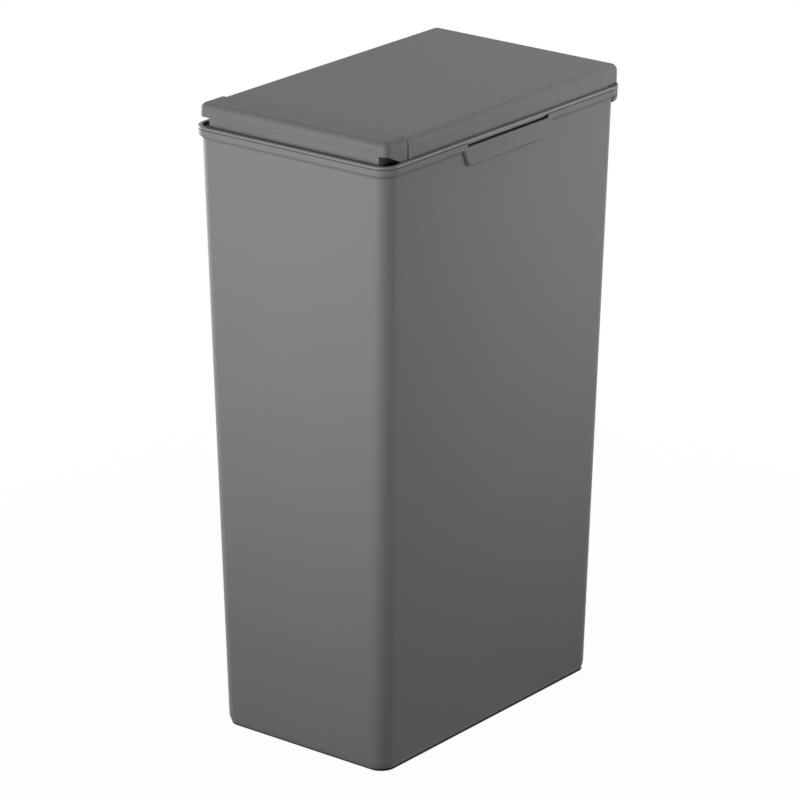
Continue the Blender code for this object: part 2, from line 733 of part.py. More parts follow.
def make_latch_keeper():
    """Plate with a shelf that the hook catches under, on the inside of the front skirt."""
    seat = FRAME_LIP + GAP
    face = seat + KEEPER_PLATE
    shelf_end = seat + SHELF_REACH
    bm = block_mesh((-KEEPER_WIDTH / 2, KEEPER_WIDTH / 2), (from_front(seat), from_front(face)),
                    (KEEPER_BOTTOM, KEEPER_TOP))
    bevel_where(bm, lambda co: co.y > from_front(seat), KEEPER_PLATE / 3, 2)
    keeper = make_object("latch_keeper", bm, LATCH_ACETAL)
    shelf = side_prism("keeper_shelf", [
        (face - SINK, SHELF_TOP - SHELF_THICKNESS), (shelf_end, SHELF_TOP - SHELF_THICKNESS),
        (shelf_end, SHELF_TOP - SHELF_THICKNESS / 2), (face - SINK, SHELF_TOP + SHELF_THICKNESS)],
        (-SHELF_WIDTH / 2, SHELF_WIDTH / 2))
    join(keeper, shelf)
    for x in keeper_screw_places():
        hole = disc(f"keeper_bore_{x:.3f}", SCREW_RADIUS + GAP,
                    (x, from_front(face), keeper_screw_height()), "Y", 2 * OVERRUN)
        cut(keeper, hole)
    return keeper


def screw_profile(shank):
    """Pan-head screw: the head's top at zero, the shank downwards."""
    crown = round_end(SCREW_HEAD_RADIUS, 0, SCREW_HEAD_HEIGHT * 0.6, True)
    tip = -SCREW_HEAD_HEIGHT - shank
    return crown + [(SCREW_HEAD_RADIUS, -SCREW_HEAD_HEIGHT), (SCREW_RADIUS, -SCREW_HEAD_HEIGHT),
                    (SCREW_RADIUS, tip + SCREW_RADIUS), (SCREW_RADIUS / 3, tip), (0, tip)]


def make_keeper_screws():
    """Two screws that hold the keeper on the skirt."""
    face = FRAME_LIP + GAP + KEEPER_PLATE
    shank = KEEPER_PLATE + GAP + SKIRT_THICKNESS
    head = from_front(face + GAP + SCREW_HEAD_HEIGHT)
    for word, x in zip(("left", "right"), keeper_screw_places()):
        turned(f"keeper_screw_{word}", screw_profile(shank), "Y", (x, head, keeper_screw_height()),
               PIN_STEEL)


def shell_block(half_width, front, rear, low, top, corner, fillet, front_fillet):
    """A block with round upright corners and a round top edge, for a lid cover or bar."""
    bm = block_mesh((-half_width, half_width), (from_front(front), from_front(rear)), (low, top))
    near = from_front(front) + SINK
    far = from_front(rear) - SINK
    if front_fillet:
        upright = [e for e in bm.edges if all(v.co.y < near for v in e.verts)
                   and abs(e.verts[0].co.z - e.verts[1].co.z) > SINK]
    else:
        upright = [e for e in bm.edges if all(v.co.y > far for v in e.verts)
                   and abs(e.verts[0].co.z - e.verts[1].co.z) > SINK]
    bmesh.ops.bevel(bm, geom=upright, offset=corner, segments=CORNER_STEPS - 1, profile=0.5,
                    affect="EDGES", clamp_overlap=True)
    plain = far if front_fillet else near
    top_edges = []
    for edge in bm.edges:
        on_top = all(vert.co.z > top - SINK for vert in edge.verts)
        if front_fillet:
            on_plain = all(vert.co.y > plain for vert in edge.verts)
        else:
            on_plain = all(vert.co.y < plain for vert in edge.verts)
        if on_top and not on_plain:
            top_edges.append(edge)
    bmesh.ops.bevel(bm, geom=top_edges, offset=fillet, segments=ROUND_STEPS + 1, profile=0.5,
                    affect="EDGES", clamp_overlap=True)
    return bm


def lid_screw_places():
    return [(side * LID_SCREW_SPREAD, depth) for depth in LID_SCREW_DEPTHS for side in (-1, 1)]


def make_lid_cover():
    """The lid's top shell, open below, with screw bosses and clearance for the hinge lugs."""
    cover = make_object("lid_cover", shell_block(LID_HALF, LID_FRONT, LID_REAR, LID_BOTTOM, LID_TOP,
                                                 LID_CORNER, LID_ROUND, False), LID_GREY)
    hollow = make_object("cover_hollow", shell_block(
        LID_HALF - LID_WALL, LID_FRONT + LID_WALL, LID_REAR - LID_WALL, LID_BOTTOM - OVERRUN,
        LID_TOP - LID_WALL, LID_CORNER - LID_WALL, LID_ROUND - LID_WALL, False))
    for x, depth in lid_screw_places():
        low = PAN_FLOOR_TOP + GAP
        length = LID_TOP - LID_WALL / 2 - low
        post = disc(f"cover_post_{x:.3f}_{depth:.3f}", SCREW_BOSS_RADIUS,
                    (x, from_front(depth), low + length / 2), "Z", length)
        cut(hollow, post)
    cut(cover, hollow)
    doorway = PANEL_HALF + GAP
    cut(cover, block("cover_doorway", (-doorway, doorway),
                     (from_front(LID_FRONT - OVERRUN), from_front(LID_FRONT + 2 * LID_WALL)),
                     (LID_BOTTOM - OVERRUN, PANEL_TOP + GAP)))
    for x, depth in lid_screw_places():
        length = LID_TOP - LID_WALL - LID_BOTTOM
        cut(cover, disc(f"cover_pilot_{x:.3f}_{depth:.3f}", SCREW_RADIUS + GAP,
                        (x, from_front(depth), LID_BOTTOM), "Z", 1.5 * length))
    for word, side in (("left", -1), ("right", 1)):
        half = LUG_WIDTH / 2 + 3 * GAP
        cut(cover, block(f"cover_lug_slot_{word}",
                         (side * LUG_MIDDLE - half, side * LUG_MIDDLE + half),
                         (from_front(LID_REAR - 2 * LID_WALL), from_front(LID_REAR + OVERRUN)),
                         (LID_BOTTOM - OVERRUN, HINGE_HEIGHT + KNUCKLE_RADIUS + 2 * GAP)))
    rise_end = HINGE_DEPTH - KNUCKLE_RADIUS
    rear = LID_REAR + OVERRUN
    cut(cover, side_prism("cover_rear_rise", [
        (LID_RISE_START, LID_BOTTOM), (rise_end, LID_BOTTOM + LID_REAR_RISE),
        (rear, LID_BOTTOM + LID_REAR_RISE), (rear, LID_BOTTOM - OVERRUN),
        (LID_RISE_START, LID_BOTTOM - OVERRUN)], (-LID_WIDTH, LID_WIDTH)))
    smooth(cover)
    set_origin(cover, (0, *HINGE))
    return cover


def make_pan_knuckle(name, x, width):
    """Arm on the pan that holds a hinge pin beside the frame's lug."""
    low = PAN_FLOOR_BOTTOM + SINK / 5
    reach = HINGE_DEPTH - PAN_REAR
    arm = side_prism(name, [
        (PAN_REAR - 2 * reach, low), (PAN_REAR, low),
        (HINGE_DEPTH, HINGE_HEIGHT - KNUCKLE_RADIUS + SINK),
        (HINGE_DEPTH, HINGE_HEIGHT + KNUCKLE_RADIUS - SINK),
        (HINGE_DEPTH - KNUCKLE_RADIUS, HINGE_HEIGHT + KNUCKLE_RADIUS - SINK),
        (PAN_REAR - 2 * reach, PAN_WALL_TOP)], (x - width / 2, x + width / 2))
    head = disc(f"{name}_head", KNUCKLE_RADIUS, (x, *HINGE), "X", width)
    join(arm, head)
    return arm


def knuckle_places(side):
    """Middles of the inner and outer knuckle beside one lug."""
    outer = LUG_MIDDLE + LUG_WIDTH / 2 + 3 * GAP + KNUCKLE_WIDTH / 2
    inner = LUG_MIDDLE - LUG_WIDTH / 2 - 3 * GAP - SPRING_ROOM - KNUCKLE_WIDTH / 2
    return (side * inner, side * outer)


def latch_cheek_places():
    """Low and high X of the two cheeks that hold the latch pin, left of and right of the hook."""
    left = -LATCH_WIDTH / 2 - 2 * GAP
    coil_room = 2 * (LATCH_COIL_TURNS + 2) * LATCH_WIRE
    right = LATCH_WIDTH / 2 + 2 * GAP + coil_room
    return ((left - LATCH_CHEEK, left), (right, right + LATCH_CHEEK))


def make_lid_pan():
    """The lid's liner: front panel, latch box under the bar, floor, side walls and knuckles."""
    shoulder = LID_FRONT + LID_WALL + GAP
    pan = block("lid_pan", (-PAN_HALF, PAN_HALF), (from_front(shoulder), from_front(PAN_REAR)),
                (PAN_FLOOR_BOTTOM, PAN_WALL_TOP), LID_GREY)
    box = block_mesh((-PANEL_HALF, PANEL_HALF),
                     (from_front(PANEL_FRONT), from_front(shoulder + PAN_WALL)),
                     (BOX_FLOOR_BOTTOM, PANEL_TOP))
    bevel_where(box, lambda co: co.y < from_front(PANEL_FRONT) + SINK, PAN_WALL / 3, 2)
    join(pan, make_object("pan_box", box))
    cut(pan, block("pan_hollow", (PAN_WALL - PAN_HALF, PAN_HALF - PAN_WALL),
                   (from_front(shoulder + PAN_WALL), from_front(PAN_REAR - PAN_WALL)),
                   (PAN_FLOOR_TOP, PANEL_TOP + OVERRUN)))
    cut(pan, block("pan_box_hollow", (PAN_WALL - PANEL_HALF, PANEL_HALF - PAN_WALL),
                   (from_front(PANEL_FRONT + PAN_WALL), from_front(shoulder)),
                   (BOX_FLOOR_TOP, PANEL_TOP + OVERRUN)))
    for word, side in (("left", -1), ("right", 1)):
        for place, x in zip(("inner", "outer"), knuckle_places(side)):
            join(pan, make_pan_knuckle(f"pan_knuckle_{place}_{word}", x, KNUCKLE_WIDTH))
        seat = disc(f"pan_spring_seat_{word}", SPIGOT_RADIUS,
                    (side * BAR_SPRING_SPREAD, from_front(BAR_SPRING_DEPTH),
                     BOX_FLOOR_TOP + (SPIGOT_HEIGHT - SINK) / 2), "Z", SPIGOT_HEIGHT + SINK)
        join(pan, seat)
        boss_length = 2 * PAN_WALL
        boss = disc(f"pan_bar_boss_{word}", BAR_LUG_RADIUS,
                    (side * (PANEL_HALF - SINK - boss_length / 2), *BAR_PIVOT), "X", boss_length)
        join(pan, boss)
        cut(pan, disc(f"pan_bar_bore_{word}", BAR_PIN_RADIUS + GAP,
                      (side * (PANEL_HALF - PAN_WALL), *BAR_PIVOT), "X", 4 * PAN_WALL))
    for word, (low, high) in zip(("left", "right"), latch_cheek_places()):
        cheek = block(f"pan_cheek_{word}", (low, high),
                      (LATCH_PIVOT[0] - LATCH_BOSS_RADIUS, LATCH_PIVOT[0] + LATCH_BOSS_RADIUS),
                      (BOX_FLOOR_TOP - SINK, LATCH_PIVOT[1]))
        head = disc(f"pan_cheek_head_{word}", LATCH_BOSS_RADIUS, ((low + high) / 2, *LATCH_PIVOT),
                    "X", high - low)
        join(cheek, head)
        join(pan, cheek)
    cheeks = latch_cheek_places()
    cut(pan, disc("pan_latch_bore", LATCH_PIN_RADIUS + GAP,
                  ((cheeks[0][0] + cheeks[1][1]) / 2, *LATCH_PIVOT), "X",
                  cheeks[1][1] - cheeks[0][0] + OVERRUN))
    bore_length = LUG_MIDDLE
    for word, side in (("left", -1), ("right", 1)):
        cut(pan, disc(f"pan_hinge_bore_{word}", HINGE_PIN_RADIUS + GAP,
                      (side * LUG_MIDDLE, *HINGE), "X", bore_length))
    half = LATCH_WIDTH / 2 + 1.5 * GAP
    cut(pan, block("pan_latch_slot", (-half, half),
                   (from_front(PANEL_FRONT + PAN_WALL + GAP), from_front(LATCH_DEPTH)),
                   (BOX_FLOOR_BOTTOM - OVERRUN, BOX_FLOOR_TOP + SINK / 5)))
    for x, depth in lid_screw_places():
        cut(pan, disc(f"pan_hole_{x:.3f}_{depth:.3f}", SCREW_RADIUS + GAP,
                      (x, from_front(depth), PAN_FLOOR_BOTTOM), "Z", 3 * PAN_THICKNESS))
    smooth(pan)
    set_origin(pan, (0, *HINGE))
    return pan


def make_lid_screws():
    """Six screws that hold the pan to the cover from below."""
    shank = PAN_THICKNESS + 3 * SCREW_BOSS_RADIUS
    head = PAN_FLOOR_BOTTOM - GAP - SCREW_HEAD_HEIGHT
    for number, (x, depth) in enumerate(lid_screw_places(), 1):
        turned(f"lid_screw_{number}", screw_profile(shank), "-Z", (x, from_front(depth), head),
               PIN_STEEL)


def make_touch_bar():
    """The press bar: a crowned shell over the latch box, hung on two pins at its rear."""
    low = LID_BOTTOM
    bar = make_object("touch_bar", shell_block(LID_HALF, BAR_FRONT, BAR_REAR, low, BAR_TOP,
                                               BAR_CORNER, BAR_ROUND, True), BAR_GREY)
    hollow = make_object("bar_hollow", shell_block(
        LID_HALF - LID_WALL, BAR_FRONT + LID_WALL, BAR_REAR - LID_WALL, low - OVERRUN,
        BAR_TOP - LID_WALL, BAR_CORNER - LID_WALL, BAR_ROUND - LID_WALL, True))
    cut(bar, hollow)
    doorway = LID_HALF - 1.5 * LID_WALL
    cut(bar, block("bar_doorway", (-doorway, doorway),
                   (from_front(BAR_REAR - 2 * LID_WALL), from_front(BAR_REAR + OVERRUN)),
                   (low - OVERRUN, PANEL_TOP + 5 * GAP)))
    cut(bar, side_prism("bar_underside", [
        (BAR_FRONT - OVERRUN, low - OVERRUN), (BAR_FRONT - OVERRUN, BAR_FACE_BOTTOM),
        (BAR_SLOPE_START, BAR_FACE_BOTTOM), (BAR_SLOPE_END, low - SINK / 5),
        (BAR_SLOPE_END, low - OVERRUN)], (-LID_WIDTH, LID_WIDTH)))
    top = BAR_TOP - LID_WALL / 2
    for word, side in (("left", -1), ("right", 1)):
        inner = PANEL_HALF + 3 * GAP
        across = sorted((side * inner, side * (inner + BAR_LUG_WIDTH)))
        lug = block(f"bar_lug_{word}", across,
                    (BAR_PIVOT[0] - BAR_LUG_RADIUS, BAR_PIVOT[0] + BAR_LUG_RADIUS),
                    (BAR_PIVOT[1], top))
        head = disc(f"bar_lug_head_{word}", BAR_LUG_RADIUS,
                    (sum(across) / 2, *BAR_PIVOT), "X", BAR_LUG_WIDTH)
        join(lug, head)
        join(bar, lug)
        cut(bar, disc(f"bar_bore_{word}", BAR_PIN_RADIUS + GAP, (sum(across) / 2, *BAR_PIVOT), "X",
                      2 * BAR_LUG_WIDTH))
        length = LID_WALL / 2 + SPIGOT_HEIGHT
        spigot = disc(f"bar_spigot_{word}", SPIGOT_RADIUS,
                      (side * BAR_SPRING_SPREAD, from_front(BAR_SPRING_DEPTH), top - length / 2),
                      "Z", length)
        join(bar, spigot)
    arm_tip = LATCH_DEPTH - LATCH_ARM_REACH
    rib_low = LATCH_HEIGHT + LATCH_ARM_RISE + GAP
    rib_half = LATCH_WIDTH / 4
    join(bar, block("bar_rib", (-rib_half, rib_half),
                    (from_front(arm_tip + GAP), from_front(arm_tip + GAP + rib_half)),
                    (rib_low, top)))
    smooth(bar)
    set_origin(bar, (0, *BAR_PIVOT))
    return bar


def make_bar_pins():
    """Stub pins at the bar's ends, held in the latch box."""
    inner = PANEL_HALF - 2 * PAN_WALL - SINK
    outer = PANEL_HALF + 3 * GAP + BAR_LUG_WIDTH + SINK
    profile = round_end(BAR_PIN_RADIUS, outer, SINK, True)
    profile += round_end(BAR_PIN_RADIUS, inner, SINK, False)
    for word, axis in (("left", "-X"), ("right", "X")):
        turned(f"bar_pin_{word}", profile, axis, (0, *BAR_PIVOT), PIN_STEEL)


def coil_points(turns, radius, start, end, first_angle=0.0):
    """Points along a round coil about the Z axis, from its formula."""
    count = round(turns * CURL_POINTS)
    points = []
    for index in range(count + 1):
        share = index / count
        angle = first_angle + 2 * math.pi * turns * share
        points.append(Vector((radius * math.cos(angle), radius * math.sin(angle),
                              start + (end - start) * share)))
    return points


def make_bar_springs():
    """Compression springs between the latch box and the bar."""
    low = BOX_FLOOR_TOP + GAP + BAR_SPRING_WIRE / 2
    high = BAR_TOP - LID_WALL - GAP - BAR_SPRING_WIRE / 2
    points = coil_points(BAR_SPRING_TURNS, BAR_SPRING_RADIUS - BAR_SPRING_WIRE / 2, low, high)
    report_gap("bar_spring", points, BAR_SPRING_WIRE / 2)
    for word, side in (("left", -1), ("right", 1)):
        place = Vector((side * BAR_SPRING_SPREAD, from_front(BAR_SPRING_DEPTH), 0))
        wire(f"bar_spring_{word}", [point + place for point in points], BAR_SPRING_WIRE / 2,
             SPRING_STEEL)


def latch_outline():
    """Side view of the hook: press arm, pivot boss, stem and nose."""
    stem_front = FRAME_LIP + GAP + SHELF_REACH + GAP
    stem_rear = stem_front + LATCH_STEM
    nose_front = stem_front - LATCH_NOSE_REACH
    nose_top = SHELF_TOP - SHELF_THICKNESS - GAP
    nose_bottom = nose_top - LATCH_NOSE
    arm_top = LATCH_HEIGHT + LATCH_ARM_RISE
    tip = LATCH_DEPTH - LATCH_ARM_REACH
    back = LATCH_DEPTH + LATCH_BOSS_RADIUS / 2
    return [
        (tip, arm_top), (tip, arm_top - LATCH_ARM), (stem_front, LATCH_HEIGHT - LATCH_ARM),
        (stem_front, nose_top), (nose_front, nose_top), (nose_front, nose_top - LATCH_NOSE / 3),
        (stem_front, nose_bottom), (stem_rear, nose_bottom),
        (stem_rear, LATCH_HEIGHT - 2 * LATCH_ARM), (back, LATCH_HEIGHT - LATCH_ARM),
        (back, LATCH_HEIGHT + LATCH_ARM), (LATCH_DEPTH - LATCH_ARM, arm_top)]


def make_latch_hook():
    """The rocking hook: the bar pushes its arm down and its nose swings clear of the keeper."""
    hook = side_prism("latch_hook", latch_outline(), (-LATCH_WIDTH / 2, LATCH_WIDTH / 2),
                      LATCH_ACETAL)
    join(hook, disc("latch_boss", LATCH_BOSS_RADIUS, (0, *LATCH_PIVOT), "X",
                    LATCH_WIDTH - SINK / 5))
    cut(hook, disc("latch_bore", LATCH_PIN_RADIUS + GAP, (0, *LATCH_PIVOT), "X",
                   2 * LATCH_WIDTH))
    smooth(hook)
    set_origin(hook, (0, *LATCH_PIVOT))
    return hook


def make_latch_pin():
    """Pin that carries the hook and its spring."""
    cheeks = latch_cheek_places()
    profile = round_end(LATCH_PIN_RADIUS, cheeks[1][1] + SINK, SINK, True)
    profile += round_end(LATCH_PIN_RADIUS, cheeks[0][0] - SINK, SINK, False)
    turned("latch_pin", profile, "X", (0, *LATCH_PIVOT), PIN_STEEL)


def sideways(point):
    """Turns a coil made about Z so that it lies about X."""
    return Vector((point.z, point.x, point.y))


def make_latch_spring():
    """Torsion spring on the latch pin: one leg under the hook's arm and one on the box's floor."""
    cheeks = latch_cheek_places()
    start = LATCH_WIDTH / 2 + GAP + LATCH_WIRE
    end = cheeks[1][0] - GAP - LATCH_WIRE
    coil = coil_points(LATCH_COIL_TURNS - 0.25, LATCH_COIL_RADIUS, start, end, -math.pi / 2)
    coil = [sideways(point) for point in coil]
    floor = BOX_FLOOR_TOP + GAP + LATCH_WIRE / 2 - LATCH_HEIGHT
    arm_depth = SINK - LATCH_ARM_REACH
    arm_under = LATCH_ARM_RISE - LATCH_ARM - 3 * LATCH_WIRE
    points = [Vector((0, arm_depth, arm_under)), Vector((start, arm_depth, arm_under))]
    points += coil
    points.append(Vector((end, -LATCH_COIL_RADIUS, floor)))
    report_gap("latch_spring", coil, LATCH_WIRE / 2)
    wire("latch_spring", [point + Vector((0, *LATCH_PIVOT)) for point in points], LATCH_WIRE / 2,
         SPRING_STEEL)


def make_hinge_pins():
    """Two hinge pins with a head at their outer end."""
    inner, outer = (abs(x) for x in knuckle_places(1))
    start = inner - KNUCKLE_WIDTH / 2 - SINK
    end = outer + KNUCKLE_WIDTH / 2 + GAP
    head = HINGE_PIN_RADIUS * 0.8
    profile = round_end(HINGE_PIN_RADIUS + head, end + head, SINK, True)
    profile += [(HINGE_PIN_RADIUS + head, end), (HINGE_PIN_RADIUS, end)]
    profile += round_end(HINGE_PIN_RADIUS, start, SINK, False)
    for word, axis in (("left", "-X"), ("right", "X")):
        turned(f"hinge_pin_{word}", profile, axis, (0, *HINGE), PIN_STEEL)


def make_hinge_springs():
    """Torsion springs that throw the lid open: one leg on the frame, one under the lid's top."""
    start = LUG_MIDDLE - LUG_WIDTH / 2 - GAP - HINGE_WIRE
    end = knuckle_places(1)[0] + KNUCKLE_WIDTH / 2 + GAP + HINGE_WIRE
    turns = HINGE_COIL_TURNS + (HINGE_LID_LEG_ANGLE - HINGE_FRAME_LEG_ANGLE) / 360
    first = math.radians(HINGE_FRAME_LEG_ANGLE)
    coil = coil_points(turns, HINGE_COIL_RADIUS, start, end, first)
    coil = [sideways(point) for point in coil]
    foot_height = DECK_TOP + GAP + HINGE_WIRE / 2 - HINGE_HEIGHT
    drop = coil[0].z - foot_height
    frame_leg = Vector((start, coil[0].y + drop * math.tan(first), foot_height))
    lid_leg = Vector((end, -HINGE_LID_LEG, LID_TOP - LID_WALL - GAP - HINGE_WIRE / 2 - HINGE_HEIGHT))
    report_gap("hinge_spring", coil, HINGE_WIRE / 2)
    for word, side in (("left", -1), ("right", 1)):
        points = [Vector((side * point.x, point.y + HINGE[0], point.z + HINGE[1]))
                  for point in [frame_leg] + coil + [lid_leg]]
        wire(f"hinge_spring_{word}", points, HINGE_WIRE / 2, SPRING_STEEL)


def make_lid_buffers():
    """Four rubber blocks on the frame's lands, which the shut lid rests on."""
    inner = FRAME_HALF - FRAME_LIP - LAND_REACH
    low = DECK_TOP - SINK / 10 + GAP
    high = PAN_FLOOR_BOTTOM - GAP
    length = 4 * LAND_REACH
    for row, place in (("front", -1), ("rear", 1)):
        middle = from_front(TAB_MIDDLE) + place * (TAB_TOP_LENGTH / 2 - length)
        for word, side in (("left", -1), ("right", 1)):
            x = sorted((side * (inner + GAP), side * (inner + LAND_REACH - GAP)))
            bm = block_mesh(x, (middle - length / 2, middle + length / 2), (low, high))
            bevel_where(bm, lambda co: co.z > low, SINK, 2)
            make_object(f"lid_buffer_{row}_{word}", bm, PAD_RUBBER)


def build():
    make_bin_body()
    make_base_pads()
    make_lid_frame()
    make_latch_keeper()
    make_keeper_screws()
    make_lid_buffers()
    make_lid_cover()
    make_lid_pan()
    make_lid_screws()
    make_hinge_pins()
    make_hinge_springs()
    make_touch_bar()
    make_bar_pins()
    make_bar_springs()
    make_latch_hook()
    make_latch_pin()
    make_latch_spring()


build()
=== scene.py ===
# %% [markdown]
# # A touch-top kitchen bin
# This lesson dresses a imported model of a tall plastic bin: a tapered bucket, a lift-off frame on
# its rim, and a flat lid that opens when the bar along its front edge is pressed.
#
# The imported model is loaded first. It gives every place and size, so each new piece is drawn at
# numbers in millimetres behind the bin's front edge and above the floor.

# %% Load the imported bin
import math

import bmesh
import bpy
from mathutils import Matrix, Vector


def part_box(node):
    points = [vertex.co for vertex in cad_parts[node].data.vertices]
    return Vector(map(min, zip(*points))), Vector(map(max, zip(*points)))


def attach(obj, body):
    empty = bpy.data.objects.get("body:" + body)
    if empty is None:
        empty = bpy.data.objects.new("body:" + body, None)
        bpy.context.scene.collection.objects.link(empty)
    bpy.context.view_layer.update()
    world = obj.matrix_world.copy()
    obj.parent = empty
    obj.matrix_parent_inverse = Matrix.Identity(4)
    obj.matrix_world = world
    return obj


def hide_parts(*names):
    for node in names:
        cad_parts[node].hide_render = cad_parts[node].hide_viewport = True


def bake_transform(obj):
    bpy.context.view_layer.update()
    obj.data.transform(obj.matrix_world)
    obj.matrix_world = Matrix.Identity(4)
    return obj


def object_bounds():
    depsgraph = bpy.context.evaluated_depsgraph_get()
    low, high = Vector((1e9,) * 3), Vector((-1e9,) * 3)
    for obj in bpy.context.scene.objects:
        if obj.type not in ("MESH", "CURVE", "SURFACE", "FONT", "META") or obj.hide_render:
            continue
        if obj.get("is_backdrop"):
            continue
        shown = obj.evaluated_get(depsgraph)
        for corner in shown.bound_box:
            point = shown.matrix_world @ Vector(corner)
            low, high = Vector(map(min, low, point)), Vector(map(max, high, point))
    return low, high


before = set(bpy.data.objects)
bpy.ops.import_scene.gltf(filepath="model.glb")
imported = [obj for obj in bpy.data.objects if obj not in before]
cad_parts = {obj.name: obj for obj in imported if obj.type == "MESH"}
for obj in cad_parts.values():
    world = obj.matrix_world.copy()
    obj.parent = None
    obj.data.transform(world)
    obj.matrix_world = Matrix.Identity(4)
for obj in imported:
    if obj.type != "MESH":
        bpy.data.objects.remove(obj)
cad_box = [list(corner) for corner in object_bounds()]
print("solids", len(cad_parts), "box", [round(side, 4) for side in cad_box[1]])

# %% [markdown]
# ## Places
# The bin was measured from its front edge backwards, so a depth becomes a Y coordinate by taking
# off half the frame's length. Everything is written in millimetres and turned to metres in one
# place.

# %% Millimetres and depths
MM = 0.001
front_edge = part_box("lid_frame")[0].y
rim_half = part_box("lid_frame")[1].x / MM


def deep(depth):
    """Y, in metres, of a place so many millimetres behind the frame's front edge."""
    return front_edge + depth * MM


print("half width of the rim", round(rim_half, 2), "mm, front edge at", round(front_edge, 5), "m")

# %% [markdown]
# ## The camera
# The picture of this bin was taken from high on the right, with a long lens from
# four metres away, which keeps upright edges nearly parallel. A camera is placed by its three
# directions: right, up and back. They are worked out from the two viewing angles and a very small
# roll.

# %% Place the camera
AZIMUTH = math.radians(38.09)
ELEVATION = math.radians(19.79)
ROLL = 0.003
LENS = 198.99
DISTANCE = 4.33515
SHIFT_RIGHT = -0.00786
SHIFT_UP = 0.2883

back = Vector((math.sin(AZIMUTH) * math.cos(ELEVATION), -math.cos(AZIMUTH) * math.cos(ELEVATION),
               math.sin(ELEVATION)))
level_right = Vector((math.cos(AZIMUTH), math.sin(AZIMUTH), 0))
level_up = back.cross(level_right)
right = math.cos(ROLL) * level_right + math.sin(ROLL) * level_up
up = math.cos(ROLL) * level_up - math.sin(ROLL) * level_right

bpy.ops.object.camera_add()
camera = bpy.context.active_object
camera.name = "camera"
camera.data.sensor_width = 36
camera.data.lens = LENS
camera.data.clip_end = 100
place = Vector((0, -0.00206, 0)) + back * DISTANCE + right * SHIFT_RIGHT + up * SHIFT_UP
camera.matrix_world = Matrix.Translation(place) @ Matrix((right, up, back)).transposed().to_4x4()
bpy.context.scene.camera = camera
print("camera at", [round(value, 3) for value in place])

# %% [markdown]
# ## Modelling by hand
# Each new piece starts as a primitive and is shaped in edit mode, where an operator acts on what
# is picked. These helpers do the picking: by hand one would click the faces, here a test on their
# place picks them. Two more helpers move the points and round the edges that pass a test.

# %% Helpers for picking and moving
def open_piece(piece):
    """Opens one piece in edit mode with nothing picked."""
    if bpy.context.object and bpy.context.object.mode == "EDIT":
        bpy.ops.object.mode_set(mode="OBJECT")
    bpy.ops.object.select_all(action="DESELECT")
    bpy.context.view_layer.objects.active = piece
    piece.select_set(True)
    bpy.ops.object.mode_set(mode="EDIT")
    bpy.ops.mesh.select_all(action="DESELECT")


def close_piece():
    """Leaves edit mode."""
    bpy.ops.object.mode_set(mode="OBJECT")


def middle_of(part):
    """The place of a vertex, or the middle of an edge or face."""
    if isinstance(part, bmesh.types.BMVert):
        return part.co.copy()
    return sum((vert.co for vert in part.verts), Vector()) / len(part.verts)


def pick(kind, test):
    """Picks the vertices, edges or faces that pass a test on their middle, and counts them."""
    bpy.ops.mesh.select_mode(type=kind)
    bpy.ops.mesh.select_all(action="DESELECT")
    mesh = bmesh.from_edit_mesh(bpy.context.edit_object.data)
    parts = {"VERT": mesh.verts, "EDGE": mesh.edges, "FACE": mesh.faces}[kind]
    chosen = [part for part in parts if test(middle_of(part), part)]
    for part in chosen:
        part.select_set(True)
    mesh.select_flush_mode()
    bmesh.update_edit_mesh(bpy.context.edit_object.data)
    return len(chosen)


def move_points(test, offset):
    """Moves the points that pass a test by an offset in metres."""
    if pick("VERT", lambda at, vert: test(at)):
        bpy.ops.transform.translate(value=offset)


def round_edges(test, radius, segments):
    """Rounds the edges that pass a test, by a radius in millimetres."""
    pick("EDGE", test)
    bpy.ops.mesh.bevel(offset=radius * MM, segments=segments, profile=0.5, affect="EDGES")


def along(edge, axis):
    """Whether an edge runs along one axis."""
    run = edge.verts[1].co - edge.verts[0].co
    return abs(run[axis]) > 0.99 * run.length


print("helpers ready")

# %% [markdown]
# ## Plates, boxes and rods
# Moulded boxes have round upright corners. A flat plate whose four corners are bevelled, as
# vertices, gives that outline, and extruding it gives a slab. Slabs, boxes and rods are then
# added to or cut from one another, as a mould maker adds and cuts steel, and each tool is thrown
# away after its cut.

# %% Helpers for slabs, boxes, rods and cuts
def plate(name, half, near, far, height, corner, steps=12):
    """A flat plate with round corners, left open in edit mode. Sizes are in millimetres."""
    bpy.ops.object.select_all(action="DESELECT")
    bpy.ops.mesh.primitive_plane_add(size=1)
    piece = bpy.context.active_object
    piece.name = name
    bpy.ops.object.mode_set(mode="EDIT")
    bpy.ops.mesh.select_mode(type="VERT")
    bpy.ops.mesh.select_all(action="SELECT")
    bpy.ops.transform.resize(value=(2 * half * MM, (far - near) * MM, 1))
    bpy.ops.transform.translate(value=(0, deep((near + far) / 2), height * MM))
    if corner:
        bpy.ops.mesh.select_all(action="SELECT")
        bpy.ops.mesh.bevel(offset=corner * MM, segments=steps, profile=0.5, affect="VERTICES")
    pick("FACE", lambda at, face: True)
    return piece


def slab(name, half, near, far, low, high, corner, steps=12):
    """A plate drawn up to a height and closed."""
    piece = plate(name, half, near, far, low, corner, steps)
    bpy.ops.mesh.extrude_region_move(TRANSFORM_OT_translate={"value": (0, 0, (high - low) * MM)})
    face_outwards()
    close_piece()
    return piece


def face_outwards():
    """Turns the faces of a closed piece outwards."""
    bpy.ops.mesh.select_all(action="SELECT")
    bpy.ops.mesh.normals_make_consistent(inside=False)


